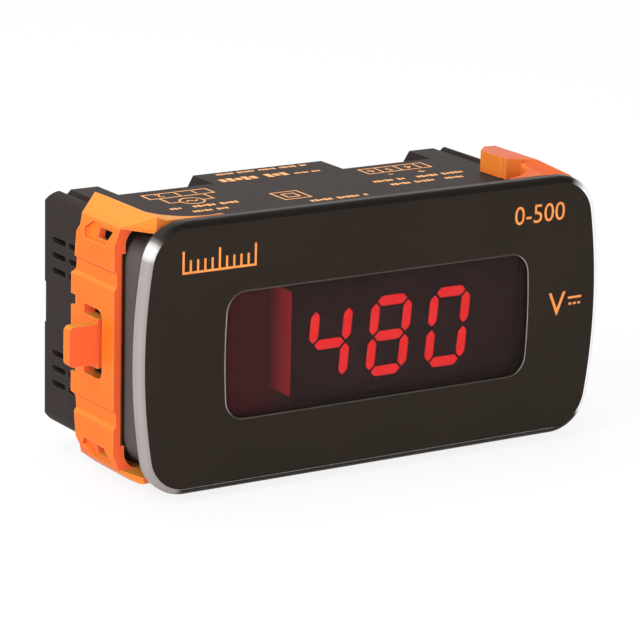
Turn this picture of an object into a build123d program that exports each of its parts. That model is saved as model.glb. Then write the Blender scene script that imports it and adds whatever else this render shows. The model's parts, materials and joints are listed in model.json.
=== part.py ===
"""Digital panel meter, 96 x 48 front, for a 92 x 45 cut-out, held by two orange slide-on clips.

Frame: X to the right seen from the front, +Y to the rear, +Z up. The origin is the centre of
the bezel's rear face, which is the plane that rests on the panel. All sizes are millimetres.
"""
import os
from math import radians, tan

from build123d import *

# Bezel and front lens
bezel_width = 96.0
bezel_height = 48.0
bezel_side_bulge = 2.8
bezel_corner_radius = 8.0
lens_thickness = 2.3
lens_edge_radius = 1.1
frame_thickness = 2.2
frame_inset = 1.0
film_inset = 1.5
film_thickness = 0.15
filter_thickness = 0.5
filter_margin = 1.6
fit_clearance = 0.1

# Window in the front print
window_width = 63.4
window_height = 22.7
window_side_bulge = 0.7
window_corner_radius = 3.8
window_centre_x = 0.5
window_centre_z = -0.6

# Display module and its digits
digits = 3
digit_height = 14.5
digit_width = 8.6
digit_pitch = 12.5
digit_shift_x = -0.1
digit_shift_z = -0.8
digit_slant_degrees = 5.2
module_side_margin = 1.75
module_top_margin = 2.15
module_depth = 8.0
module_centre_x = 4.4
module_centre_z = -0.9
module_wall = 1.0
module_floor = 1.0
segment_stroke = 1.8
segment_gap = 0.32
segment_depth = 5.0
point_radius = 0.75
point_side_step = 5.4

# Case
collar_side_step = 3.1
collar_top_step = 2.75
body_side_step = 1.5
collar_corner_radius = 6.0
body_corner_radius = 2.4
collar_depth = 6.5
collar_taper = 1.6
board_row_depth = 9.45
block_length = 17.9
block_recess = 3.5
terminal_floor_recess = 9.8
wall = 2.0
tower_chamfer_back = 2.3
tower_chamfer_down = 3.0
rear_corner_radius = 1.6
rail_width = 2.3
rail_groove_width = 2.3
rail_groove_depth = 1.2
rail_groove_slope = 0.5
rail_groove_start = 16.0
roof_over_groove = 1.2
corner_room = 2.0
guide_depth = 1.8
guide_height = 1.0
guide_clearance = 0.15
side_notch_height = 7.7
side_notch_depth = 1.6
side_notch_centre_z = 1.0

# Vents and ratchet rack on the case sides
vent_height = 1.1
vent_length = 5.0
vent_pitches_in_height = 15.2
vent_first_row = 2.7
vent_rows = 3
vent_columns = 2
vent_column_step = 6.0
vent_rear_margin = 4.0
rack_pitch = 1.5
rack_tooth_height = 1.0
rack_root = 0.3
rack_valley = 0.2
rack_tip_front = 0.35
rack_tip_rear = 0.1
rack_height = 8.4
rack_front = 9.0
rack_rear = 26.5

# Terminal blocks: three ways each, rising cages
ways = 3
way_pitch = 6.35
well_width = 19.6
well_inner_edge = 13.75
block_edge = 0.8
block_top = 9.0
block_wall_clearance = 0.15
screw_axis_z = 1.0
screw_radius = 1.5
screw_head_radius = 2.75
screw_head_height = 2.0
screw_length = 10.0
screw_head_recess = 0.6
screw_head_edge = 0.5
screw_tip_edge = 0.4
slot_width = 0.8
slot_depth = 1.1
head_bore_clearance = 0.2
screw_clearance = 0.05
cage_width = 5.0
cage_height = 5.6
cage_wall = 1.0
cage_thread_wall = 2.4
cage_clearance = 0.15
wire_gap = 3.0
wire_entry_width = 3.4
wire_entry_funnel = 0.7
blade_width = 2.6
blade_thickness = 1.0
blade_pin_length = 2.6
blade_pin_width = 1.2
blade_pin_depth = 1.0
blade_clearance = 0.05
cage_travel = 2.5

# Boards and the parts on them
board_thickness = 1.6
display_board_side_gap = 7.9
display_board_top_gap = 4.25
display_board_corner = 1.5
main_board_corner = 0.8
main_board_z = -13.0
main_board_front_gap = 1.2
main_board_edge_gap = 1.0
board_screw_radius = 1.1
board_screw_length = 6.5
board_screw_head_radius = 2.0
board_screw_head_height = 1.3
board_screw_head_edge = 0.4
board_screw_cross = 2.8
board_screw_cross_width = 0.5
board_screw_cross_depth = 0.6
post_radius = 2.6
post_side_gap = 2.8
post_top_gap = 4.0
screw_hole_spare = 0.5
spigot_wall = 1.5
core_width = 21.0
core_height = 17.0
core_stack = 9.0
core_limb = 5.0
core_window_height = 10.0
core_corner = 0.4
core_back_step = 0.4
core_lift = 0.6
coil_clearance = 0.2
bobbin_wall = 0.8
bobbin_foot = 1.2
coil_depth = 16.0
winding_inset = 0.4
winding_corner = 1.5
capacitor_radius = 3.6
capacitor_height = 11.5
capacitor_x = 19.3
small_capacitor_radius = 2.5
small_capacitor_height = 9.0
small_capacitor_x = 26.8
board_row_offset = 5.25
can_edge = 0.6
header_pins = 10
header_pitch = 2.54
header_pin_side = 0.64
header_back_gap = 1.6
header_strip_height = 2.5
header_bend_height = 3.6
resistor_radius = 1.25
resistor_length = 6.8
resistor_lift = 0.5
resistor_lead = 1.4
lead_radius = 0.3
resistor_rows = 2
resistor_row_pitch = 3.6
resistor_columns = 2
resistor_first_x = -31.8
resistor_column_pitch = 12.2
chip_width = 10.0
chip_height = 7.6
chip_thickness = 1.8
chip_edge = 0.4
chip_x = -22.0
chip_z = 3.0
bridge_x = 34.8
bridge_width = 8.4
bridge_height = 6.4
bridge_depth = 3.4
bridge_edge = 0.5

# Clips
clip_thickness = 2.2
clip_clearance = 0.1
clip_hole_corner_radius = 3.0
clip_plate_front = 5.8
clip_plate_rear = 21.0
clip_front_chamfer = 0.8
clip_front_chamfer_drop = 4.35
clip_band_low_drop = 10.65
clip_band_high_drop = 7.4
clip_band_inset = 0.5
clip_rear_step = 0.9
clip_waist_inset = 1.8
clip_waist_drop = 3.15
clip_neck_inset = 2.4
clip_neck_drop = 1.65
clip_shoulder_drop = 2.85
clip_corner_inset = 1.15
clip_corner_rise = 0.15
clip_ridge_inset = 4.9
clip_ridge_rise = 2.95
clip_ridge_rear = 21.5
clip_ridge_bevel = 0.8
clip_wing_rear = 18.0
clip_arm_root_inset = 1.5
clip_arm_thickness = 2.15
clip_inner_edge_inset = 6.8
clip_foot_blunt = 0.6
clip_long_tip_reach = 18.2
clip_long_middle_inset = 9.2
clip_long_middle_y = 3.0
clip_foot_start = 8.0
clip_short_tip_reach = 16.7
clip_short_middle_inset = 11.6
clip_short_middle_y = 2.7
clip_short_join_inset = 8.8
clip_pad_reach = 12.2
clip_pad_thickness = 3.95
clip_short_front = 7.7
clip_short_rear = 15.8
clip_short_bend_inset = 8.3
clip_short_bend_y = 20.2
clip_short_groove_y = 9.0
clip_short_groove = 0.5
clip_toe_inset = 2.8
clip_toe_thickness = 1.05
clip_toe_rise = 0.6
latch_window_front = 9.9
latch_window_rear = 16.4
latch_window_share = 0.29
latch_slot_height = 1.8
latch_window_corner = 1.6
fin_front = 11.5
fin_thickness = 2.0
fin_side_step = 0.8
fin_reach = 5.5
fin_corner = 1.0
latch_tooth_side_step = 1.4
latch_tooth_gap = 0.1
latch_tooth_root = 0.5
latch_tooth_lead = 0.3
latch_tooth_length = 1.6
edge_notch_depth = 1.6
edge_notch_height = 2.0
edge_notch_over_window = 0.8
pocket_front_top = 7.4
pocket_front_low = 8.9
pocket_rear_top = 15.0
pocket_rear_low = 16.0
pocket_point = 17.2
pocket_low_drop = 3.75
pocket_high_drop = 0.45
pocket_depth = 1.0
pocket_tilt_degrees = 16.0
pocket_hole_front = 8.4
pocket_hole_slant = 0.7
pocket_hole_rear = 13.0
pocket_hole_low_drop = 2.85
pocket_hole_high_drop = 1.05

# Sizes that follow from the ones above
frame_front = -frame_thickness
lens_front = frame_front - lens_thickness
film_rear = frame_front + film_thickness
filter_rear = film_rear + filter_thickness
module_width = digits * digit_pitch + 2 * module_side_margin
module_height = digit_height + 2 * module_top_margin
digit_centre_z = module_centre_z + digit_shift_z
module_front = filter_rear + fit_clearance
module_rear = module_front + module_depth
display_board_rear = module_rear + board_thickness
collar_width = bezel_width - 2 * collar_side_step
body_width = collar_width - 2 * body_side_step
case_height = bezel_height - 2 * collar_top_step
display_board_width = collar_width - 2 * display_board_side_gap
display_board_height = case_height - 2 * display_board_top_gap
post_x = display_board_width / 2 - post_side_gap
post_z = display_board_height / 2 - post_top_gap
vent_pitch_z = case_height / vent_pitches_in_height
vent_first_z = vent_first_row * vent_pitch_z
board_row_y = display_board_rear + board_row_offset
block_front = display_board_rear + board_row_depth
core_front = block_front + core_back_step
case_depth = block_front + block_length + block_recess
terminal_floor = case_depth - terminal_floor_recess
body_half = body_width / 2
case_half_height = case_height / 2
block_rear = case_depth - block_recess
block_half_width = ways * way_pitch / 2
well_outer_edge = well_inner_edge + well_width
well_centre = (well_inner_edge + well_outer_edge) / 2
main_board_top = main_board_z + board_thickness
main_board_front = display_board_rear + main_board_front_gap
main_board_rear = terminal_floor - wall - main_board_edge_gap
screw_head_top = block_rear - screw_head_recess
screw_seat = screw_head_top - screw_head_height
blade_rear = screw_seat - (screw_length - screw_head_height)
blade_front = blade_rear - blade_thickness
cage_front = blade_front - wire_gap - cage_wall
cage_rear = cage_front + 2 * cage_wall + wire_gap + blade_thickness + cage_clearance + (
    cage_thread_wall - cage_wall)
cavity_front = cage_front - cage_clearance
cavity_rear = cage_rear + cage_travel + cage_clearance
groove_outer = body_half - rail_width
groove_inner = groove_outer - rail_groove_width
core_centre_y = core_front + core_stack / 2
core_centre_z = main_board_top + core_lift + core_height / 2
coil_low = core_centre_z - core_window_height / 2 + coil_clearance
coil_high = core_centre_z + core_window_height / 2 - coil_clearance
limb_x = core_limb / 2 + coil_clearance
limb_y = core_stack / 2 + coil_clearance
clip_hole_half = collar_width / 2 + clip_clearance
clip_hole_top = case_half_height + clip_clearance
clip_outer = clip_hole_half + clip_thickness
latch_window_half = clip_hole_top * latch_window_share
latch_half = latch_window_half - latch_slot_height
fin_half = latch_half - fin_side_step
latch_tooth_half = latch_half - latch_tooth_side_step
edge_notch_high = latch_window_half + edge_notch_over_window
edge_notch_low = edge_notch_high - edge_notch_height
clip_front_chamfer_half = clip_hole_top - clip_front_chamfer_drop
clip_band_low = clip_hole_top - clip_band_low_drop
clip_band_high = clip_hole_top - clip_band_high_drop
clip_waist_z = clip_hole_top - clip_waist_drop
clip_neck_z = clip_hole_top - clip_neck_drop
clip_shoulder_z = clip_hole_top - clip_shoulder_drop
clip_corner_z = clip_hole_top + clip_corner_rise
clip_ridge_x = clip_outer - clip_ridge_inset
clip_ridge_z = clip_hole_top + clip_ridge_rise
clip_arm_root_x = clip_outer - clip_arm_root_inset
clip_arm_top = clip_hole_top + clip_arm_thickness
clip_inner_edge = clip_outer - clip_inner_edge_inset
clip_long_tip = clip_outer - clip_long_tip_reach
clip_long_middle_x = clip_outer - clip_long_middle_inset
clip_short_tip = clip_outer - clip_short_tip_reach
clip_short_middle_x = clip_outer - clip_short_middle_inset
clip_short_join_x = clip_outer - clip_short_join_inset
clip_short_reach = clip_outer - clip_pad_reach
clip_short_top = clip_hole_top + clip_pad_thickness
clip_short_bend_x = clip_outer - clip_short_bend_inset
clip_toe_x = clip_outer - clip_toe_inset
clip_toe_z = clip_hole_top + clip_toe_thickness
pocket_low = clip_hole_top - pocket_low_drop
pocket_high = clip_hole_top - pocket_high_drop
pocket_hole_low = clip_hole_top - pocket_hole_low_drop
pocket_hole_high = clip_hole_top - pocket_hole_high_drop


def upright(outline, front, rear):
    """Extrude an X-Z outline from one distance behind the panel face to another."""
    return extrude(Plane.XZ.offset(-front) * outline, amount=front - rear)


def bulged(width, height, bulge, radius):
    """Outline with level top and bottom, sides that bow outwards and rounded corners."""
    edge = width / 2 - bulge
    top = height / 2
    outline = make_face([
        Line((-edge, top), (edge, top)),
        ThreePointArc((edge, top), (width / 2, 0), (edge, -top)),
        Line((edge, -top), (-edge, -top)),
        ThreePointArc((-edge, -top), (-width / 2, 0), (-edge, top)),
    ])
    return fillet(outline.vertices(), radius)


def bezel_outline(inset):
    """Front outline drawn in by one distance all round."""
    return bulged(bezel_width - 2 * inset, bezel_height - 2 * inset, bezel_side_bulge,
                  bezel_corner_radius - inset)


def window_outline(margin):
    """Window outline, larger by one margin all round, at its place on the front."""
    shape = bulged(window_width + 2 * margin, window_height + 2 * margin, window_side_bulge,
                   window_corner_radius + margin)
    return Pos(window_centre_x, window_centre_z) * shape


def block_box(x_range, y_range, z_range):
    """Box between two corners, for straight cuts and small square parts."""
    size = [high - low for low, high in (x_range, y_range, z_range)]
    middle = [(high + low) / 2 for low, high in (x_range, y_range, z_range)]
    return Pos(*middle) * Box(*size)


def rod(radius, centre_x, centre_z, front, rear):
    """Round bar or hole along Y."""
    return upright(Pos(centre_x, centre_z) * Circle(radius), front, rear)


def column(radius, centre_x, centre_y, low, high):
    """Round bar or hole along Z."""
    return Pos(centre_x, centre_y, low) * extrude(Circle(radius), amount=high - low)


def way_centres(side):
    """X of each terminal way on one side, -1 for left and 1 for right."""
    return [side * well_centre + (index - (ways - 1) / 2) * way_pitch for index in range(ways)]


# Front lens: a clear plate with a rounded front edge

def make_front_lens():
    plate = upright(bezel_outline(0), lens_front, frame_front)
    front_edges = plate.faces().sort_by(Axis.Y)[0].edges()
    return fillet(front_edges, lens_edge_radius)


# Printed film behind the lens, open at the window

def make_facia_film():
    return upright(bezel_outline(film_inset) - window_outline(0), frame_front, film_rear)


def make_red_filter():
    return upright(window_outline(filter_margin - fit_clearance), film_rear, filter_rear)


# Black frame behind the lens, with the seats for film and filter and the spigot in the case

def collar_outline(inset):
    """Outline of the collar that fits the panel's cut-out, drawn in by one distance."""
    return RectangleRounded(collar_width - 2 * inset, case_height - 2 * inset,
                            collar_corner_radius - inset)


def body_outline():
    return RectangleRounded(body_width, case_height, body_corner_radius)


def make_bezel_frame():
    frame = upright(bezel_outline(frame_inset), frame_front, 0)
    spigot_gap = wall + fit_clearance
    spigot = upright(collar_outline(spigot_gap), 0, wall)
    spigot -= upright(collar_outline(spigot_gap + spigot_wall), 0, wall)
    frame += spigot
    frame -= upright(bezel_outline(film_inset - fit_clearance / 2), frame_front, film_rear)
    frame -= upright(window_outline(filter_margin), film_rear, filter_rear)
    frame -= upright(window_outline(0), filter_rear, 0)
    for x in (-post_x, post_x):
        for z in (-post_z, post_z):
            frame += rod(post_radius, x, z, 0, module_rear)
    hole_front = display_board_rear - board_screw_length - screw_hole_spare
    for x in (-post_x, post_x):
        frame -= rod(board_screw_radius, x, post_z, hole_front, module_rear)
    return frame


# Case: one moulding, open at the front, with three towers that stand between the wells

def make_case():
    collar = upright(collar_outline(0), 0, collar_depth)
    taper = loft([
        Plane.XZ.offset(-collar_depth) * collar_outline(0),
        Plane.XZ.offset(-collar_depth - collar_taper) * body_outline(),
    ])
    body = upright(body_outline(), collar_depth + collar_taper, case_depth)
    case = collar + taper + body
    case = cut_tower_ends(case)
    case -= inner_space()
    for side in (-1, 1):
        x_range = sorted((side * well_inner_edge, side * well_outer_edge))
        tall = (-case_height, case_height)
        case -= block_box(x_range, (terminal_floor, case_depth + 1), tall)
        case -= block_opening(side)
        case -= rail_grooves(side)
        case -= side_notch(side)
        case -= Compound(side_vents(side))
        case += rack(side)
        case += board_guides(side)
    return case


def cut_tower_ends(case):
    """Slope the top and bottom rear edges and round the rear side edges."""
    half = collar_width / 2 + 1
    top = case_half_height
    plan = make_face(Polyline((-body_half, case_depth), (-body_half, collar_depth + collar_taper),
                              (-half, collar_depth + collar_taper), (-half, -1), (half, -1),
                              (half, collar_depth + collar_taper),
                              (body_half, collar_depth + collar_taper), (body_half, case_depth),
                              close=True))
    rear_corners = plan.vertices().sort_by(Axis.Y)[-2:]
    plan = fillet(rear_corners, rear_corner_radius)
    side = make_face(Polyline((-1, -top), (case_depth - tower_chamfer_back, -top),
                              (case_depth, -top + tower_chamfer_down),
                              (case_depth, top - tower_chamfer_down),
                              (case_depth - tower_chamfer_back, top), (-1, top), close=True))
    case &= extrude(plan, amount=case_height, both=True)
    return case & extrude(Plane.YZ * side, amount=case_height * 2, both=True)


def inner_space():
    """Hollow of the case: the board space, then the hollows of the three towers."""
    room_rear = terminal_floor - wall
    tower_rear = case_depth - wall
    high = case_half_height - wall
    low_roof = case_half_height - rail_groove_depth - roof_over_groove
    inner_half = groove_inner - wall / 2
    mouth = upright(collar_outline(wall), 0, collar_depth)
    side_half = body_half - wall
    side_high = low_roof - corner_room
    rooms = block_box((-inner_half, inner_half), (collar_depth - 1, room_rear), (-high, high))
    rooms += block_box((-side_half, side_half), (collar_depth - 1, room_rear),
                       (-side_high, side_high))
    centre_half = well_inner_edge - wall
    tower_high = high - tower_chamfer_down / 2
    rooms += block_box((-centre_half, centre_half), (room_rear - 1, tower_rear),
                       (-tower_high, tower_high))
    tower = block_box((well_outer_edge + wall, side_half), (room_rear - 1, tower_rear - side_notch_depth),
                      (-side_high, side_high))
    return mouth + rooms + tower + mirror(tower, about=Plane.YZ)


def block_opening(side):
    """Opening in the rear wall through which a terminal block stands in its well."""
    half = block_half_width + block_wall_clearance
    centre = side * well_centre
    return block_box((centre - half, centre + half), (terminal_floor - wall - 1, terminal_floor + 1),
                     (main_board_top, block_top + block_wall_clearance))


def rail_grooves(side):
    """Groove along the top and the bottom, between the side tower and its outer rail."""
    floor = case_half_height - rail_groove_depth
    section = make_face(Polyline((side * groove_inner, case_half_height + 1),
                                 (side * groove_inner, case_half_height),
                                 (side * (groove_inner + rail_groove_slope), floor),
                                 (side * (groove_outer - rail_groove_slope), floor),
                                 (side * groove_outer, case_half_height),
                                 (side * groove_outer, case_half_height + 1), close=True))
    groove = upright(section, rail_groove_start, case_depth + 1)
    return groove + mirror(groove, about=Plane.XY)


def board_guides(side):
    """Two ribs on the inside wall that hold the edge of the main board."""
    x_range = sorted((side * (body_half - wall - guide_depth), side * (body_half - wall + 0.5)))
    y_range = (main_board_front, main_board_rear + main_board_edge_gap)
    low = main_board_z - guide_clearance
    high = main_board_top + guide_clearance
    return (block_box(x_range, y_range, (low - guide_height, low))
            + block_box(x_range, y_range, (high, high + guide_height)))


def side_notch(side):
    """Shallow step at mid height in the rear edge of the side tower."""
    x_range = sorted((side * well_outer_edge, side * (body_half + 1)))
    z_range = (side_notch_centre_z - side_notch_height / 2, side_notch_centre_z + side_notch_height / 2)
    return block_box(x_range, (case_depth - side_notch_depth, case_depth + 1), z_range)


def side_vents(side):
    """Vent slots through the side wall, above and below the middle."""
    vents = []
    for column_index in range(vent_columns):
        rear = case_depth - vent_rear_margin - column_index * vent_column_step
        for row in range(vent_rows):
            for up in (-1, 1):
                centre_z = up * (vent_first_z + row * vent_pitch_z)
                slot = Pos(rear - vent_length / 2, centre_z) * SlotOverall(vent_length, vent_height)
                outside = side * (body_half + 1)
                depth = -side * (wall + 2)
                vents.append(extrude(Plane.YZ.offset(outside) * slot, amount=depth))
    return vents


def rack(side):
    """Ratchet teeth along the side wall, under the latch of the clip."""
    teeth = int((rack_rear - rack_front) / rack_pitch)
    foot = body_half - rack_root
    tip = body_half + rack_tooth_height
    points = [(foot, rack_front)]
    for index in range(teeth):
        start = rack_front + index * rack_pitch
        points.append((body_half + rack_valley, start))
        points.append((tip, start + rack_pitch - rack_tip_front))
        points.append((tip, start + rack_pitch - rack_tip_rear))
    points.append((foot, rack_front + teeth * rack_pitch))
    profile = make_face(Polyline(*points, close=True))
    bar = extrude(Plane.XY.offset(-rack_height / 2) * profile, amount=rack_height)
    return bar if side > 0 else mirror(bar, about=Plane.YZ)


# Display module with its segments

def digit_centres():
    """X of each digit, from left to right."""
    middle = module_centre_x + digit_shift_x
    return [middle + (index - (digits - 1) / 2) * digit_pitch for index in range(digits)]


def slanted(x, z):
    """Lean a point of a digit to the right in proportion to its height."""
    return (x + z * tan(radians(digit_slant_degrees)), z)


def segment_outline(name):
    """Six-sided outline of one segment about the digit's centre."""
    reach_x = (digit_width - segment_stroke) / 2
    reach_z = (digit_height - segment_stroke) / 2
    left, right = -reach_x, reach_x
    ends = {
        "a": ((left, reach_z), (right, reach_z)),
        "b": ((right, 0), (right, reach_z)),
        "c": ((right, -reach_z), (right, 0)),
        "d": ((left, -reach_z), (right, -reach_z)),
        "e": ((left, -reach_z), (left, 0)),
        "f": ((left, 0), (left, reach_z)),
        "g": ((left, 0), (right, 0)),
    }
    start, end = ends[name]
    half = segment_stroke / 2
    gap = segment_gap
    if start[1] == end[1]:
        low, high, level = start[0] + gap, end[0] - gap, start[1]
        points = [(low, level), (low + half, level + half), (high - half, level + half),
                  (high, level), (high - half, level - half), (low + half, level - half)]
    else:
        low, high, level = start[1] + gap, end[1] - gap, start[0]
        points = [(level, low), (level + half, low + half), (level + half, high - half),
                  (level, high), (level - half, high - half), (level - half, low + half)]
    return make_face(Polyline(*[slanted(*point) for point in points], close=True))


def segment_solids(centre_x, names):
    """Segment bodies of one digit, each a prism behind the module's face."""
    place = Pos(centre_x, digit_centre_z)
    return [upright(place * segment_outline(name), module_front, module_front + segment_depth)
            for name in names]


def point_solids():
    """Decimal points, one at the lower right of each digit."""
    low = digit_centre_z - (digit_height - segment_stroke) / 2
    return [rod(point_radius, x + point_side_step, low, module_front, module_front + segment_depth)
            for x in digit_centres()]


def make_display_module():
    outline = Pos(module_centre_x, module_centre_z) * Rectangle(module_width, module_height)
    module = upright(outline, module_front, module_rear)
    for x in digit_centres():
        for prism in segment_solids(x, "abcdefg"):
            module -= prism
    for dot in point_solids():
        module -= dot
    back = Pos(module_centre_x, module_centre_z) * Rectangle(module_width - 2 * module_wall,
                                                             module_height - 2 * module_wall)
    module -= upright(back, module_front + segment_depth + module_floor, module_rear)
    return module


# Boards

def make_display_board():
    outline = RectangleRounded(display_board_width, display_board_height, display_board_corner)
    board = upright(outline, module_rear, display_board_rear)
    for x in (-post_x, post_x):
        board -= rod(board_screw_radius + fit_clearance, x, post_z, module_rear, display_board_rear)
    return board


def make_board_screw(side):
    x = side * post_x
    head = rod(board_screw_head_radius, x, post_z, display_board_rear,
               display_board_rear + board_screw_head_height)
    head = fillet(head.faces().sort_by(Axis.Y)[-1].edges(), board_screw_head_edge)
    shank_front = display_board_rear - board_screw_length
    shank = rod(board_screw_radius - fit_clearance / 2, x, post_z, shank_front, display_board_rear)
    head_top = display_board_rear + board_screw_head_height
    bar = Rectangle(board_screw_cross, board_screw_cross_width)
    cross = upright(Pos(x, post_z) * (bar + Rot(0, 0, 90) * bar), head_top - board_screw_cross_depth,
                    head_top + 1)
    return head + shank - cross


def make_main_board():
    half = body_half - wall - main_board_edge_gap
    board = block_box((-half, half), (main_board_front, main_board_rear),
                      (main_board_z, main_board_top))
    tongue = well_inner_edge - wall - main_board_edge_gap
    board += block_box((-tongue, tongue), (main_board_rear - 1, case_depth - wall - main_board_edge_gap),
                       (main_board_z, main_board_top))
    board = fillet(board.edges().filter_by(Axis.Z), main_board_corner)
    for side in (-1, 1):
        for x in way_centres(side):
            board -= blade_pin(x, fit_clearance)
    return board


def make_pin_header():
    """Right-angle pins that join the two boards, in one strip."""
    strip_y = main_board_front + header_back_gap
    half = header_pins * header_pitch / 2
    strip = block_box((-half, half), (strip_y - header_pitch / 2, strip_y + header_pitch / 2),
                      (main_board_top, main_board_top + header_strip_height))
    side = header_pin_side / 2
    for index in range(header_pins):
        x = (index - (header_pins - 1) / 2) * header_pitch
        level = main_board_top + header_bend_height
        strip += block_box((x - side, x + side), (strip_y - side, strip_y + side),
                           (main_board_top, level))
        strip += block_box((x - side, x + side), (display_board_rear, strip_y + side),
                           (level - 2 * side, level))
    return strip


# Transformer: a shell core round a bobbin with its winding

def coil_box(half_x, half_y, low, high):
    """Upright box centred on the transformer's middle limb."""
    return block_box((-half_x, half_x), (core_centre_y - half_y, core_centre_y + half_y),
                     (low, high))


def make_transformer_core():
    window_width_each = (core_width - 2 * core_limb) / 2
    offset = (core_limb + window_width_each) / 2
    outline = Rectangle(core_width, core_height)
    for side in (-1, 1):
        outline -= Pos(side * offset, 0) * Rectangle(window_width_each, core_window_height)
    stack = upright(Pos(0, core_centre_z) * outline, core_centre_y - core_stack / 2,
                    core_centre_y + core_stack / 2)
    corners = [edge for edge in stack.edges().filter_by(Axis.Y)
               if abs(abs(edge.center().X) - core_width / 2) < 0.01]
    return chamfer(corners, core_corner)


def make_bobbin():
    flange_x = (core_width - core_limb) / 2 - coil_clearance
    flange_y = coil_depth / 2
    bobbin = coil_box(flange_x, flange_y, coil_low, coil_low + bobbin_wall)
    bobbin += coil_box(flange_x, flange_y, coil_high - bobbin_wall, coil_high)
    bobbin += coil_box(limb_x + bobbin_wall, limb_y + bobbin_wall, coil_low, coil_high)
    bobbin -= coil_box(limb_x, limb_y, coil_low - 1, coil_high + 1)
    for end in (-1, 1):
        y = core_centre_y + end * (flange_y - bobbin_foot)
        bobbin += block_box((-flange_x / 2, flange_x / 2), (y - bobbin_wall, y + bobbin_wall),
                            (main_board_top, coil_low + bobbin_wall))
    return bobbin


def make_winding():
    low = coil_low + bobbin_wall
    high = coil_high - bobbin_wall
    half_x = (core_width - core_limb) / 2 - coil_clearance - winding_inset
    half_y = coil_depth / 2 - winding_inset
    copper = coil_box(half_x, half_y, low, high)
    copper = fillet(copper.edges().filter_by(Axis.Z), winding_corner)
    return copper - coil_box(limb_x + bobbin_wall, limb_y + bobbin_wall, low - 1, high + 1)


def make_capacitor(x, radius, height):
    can = column(radius, x, board_row_y, main_board_top, main_board_top + height)
    return fillet(can.edges().filter_by(GeomType.CIRCLE), can_edge)


def make_resistors():
    """Input divider resistors, lying on the main board with their leads bent down."""
    group = []
    for column_index in range(resistor_columns):
        x = resistor_first_x + column_index * resistor_column_pitch
        for row in range(resistor_rows):
            y = board_row_y + (row - (resistor_rows - 1) / 2) * resistor_row_pitch
            group.append(make_resistor(x, y))
    return Compound(group)


def make_resistor(x, y):
    level = main_board_top + resistor_radius + resistor_lift
    lying = Pos(x, y, level) * Rot(0, 90, 0)
    body = lying * Cylinder(resistor_radius, resistor_length)
    body = fillet(body.edges().filter_by(GeomType.CIRCLE), resistor_radius / 3)
    reach = resistor_length / 2 + resistor_lead
    wire = lying * Cylinder(lead_radius, 2 * reach)
    for end in (-1, 1):
        wire += column(lead_radius, x + end * (reach - lead_radius), y, main_board_top, level)
    return body + wire


def make_chip():
    body = block_box((chip_x - chip_width / 2, chip_x + chip_width / 2),
                     (display_board_rear, display_board_rear + chip_thickness),
                     (chip_z - chip_height / 2, chip_z + chip_height / 2))
    return chamfer(body.edges().filter_by(Axis.Y), chip_edge)


def make_bridge():
    body = block_box((bridge_x - bridge_width / 2, bridge_x + bridge_width / 2),
                     (board_row_y - bridge_height / 2, board_row_y + bridge_height / 2),
                     (main_board_top, main_board_top + bridge_depth))
    return chamfer(body.faces().sort_by(Axis.Z)[-1].edges(), bridge_edge)


# Terminal blocks, their contact blades, cages and screws

def blade_pin(x, clearance=0.0):
    half = blade_pin_width / 2 + clearance
    half_depth = blade_pin_depth / 2 + clearance
    middle = (blade_front + blade_rear) / 2
    return block_box((x - half, x + half), (middle - half_depth, middle + half_depth),
                     (main_board_z - blade_pin_length, main_board_top))


def make_terminal_block(side):
    centre = side * well_centre
    block = block_box((centre - block_half_width, centre + block_half_width),
                      (block_front, block_rear), (main_board_top, block_top))
    block = chamfer(block.faces().sort_by(Axis.Y)[-1].edges().filter_by(Axis.X), block_edge)
    for x in way_centres(side):
        block -= block_cavity(x)
    return block


def block_cavity(x):
    """Room for one way: cage slide, screw bore, head bore, wire entry and blade slot."""
    half = cage_width / 2 + cage_clearance
    low = screw_axis_z - cage_height / 2 - cage_clearance
    high = screw_axis_z + cage_height / 2 + cage_clearance
    room = block_box((x - half, x + half), (cavity_front, cavity_rear), (low, high))
    room += rod(screw_radius + screw_clearance, x, screw_axis_z, cavity_rear - 1, block_rear)
    room += rod(screw_head_radius + head_bore_clearance, x, screw_axis_z,
                screw_seat - head_bore_clearance, block_rear + 1)
    entry_half = wire_entry_width / 2
    entry = (blade_front - wire_gap, blade_front - 2 * blade_clearance)
    room += block_box((x - entry_half, x + entry_half), entry, (high - 1, block_top + 1))
    funnel_low = block_top - wire_entry_funnel
    middle = (entry[0] + entry[1]) / 2
    depth = entry[1] - entry[0]
    room += Pos(x, middle, funnel_low) * loft([
        Rectangle(wire_entry_width, depth),
        Pos(0, 0, wire_entry_funnel + 0.01) * Rectangle(
            wire_entry_width + 2 * wire_entry_funnel, depth + 2 * wire_entry_funnel),
    ])
    slot = blade_width / 2 + cage_clearance
    room += block_box((x - slot, x + slot), (blade_front - blade_clearance, blade_rear + blade_clearance),
                      (main_board_top - 1, low + 1))
    return room


def make_contact_blades(side):
    """Contact blade and board pin of each way."""
    blades = None
    for x in way_centres(side):
        half = blade_width / 2
        blade = block_box((x - half, x + half), (blade_front, blade_rear),
                          (main_board_top, screw_axis_z + cage_height / 2))
        blade += blade_pin(x)
        blades = blade if blades is None else blades + blade
    return blades


def make_cage(x):
    """Rectangular ring round blade and wire, threaded at its rear wall."""
    half = cage_width / 2
    low = screw_axis_z - cage_height / 2
    high = screw_axis_z + cage_height / 2
    ring = block_box((x - half, x + half), (cage_front, cage_rear), (low, high))
    ring -= block_box((x - half + cage_wall, x + half - cage_wall),
                      (cage_front + cage_wall, cage_rear - cage_thread_wall), (low - 1, high + 1))
    ring -= rod(screw_radius + screw_clearance, x, screw_axis_z, cage_rear - cage_thread_wall - 1,
                cage_rear + 1)
    return ring


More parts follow.
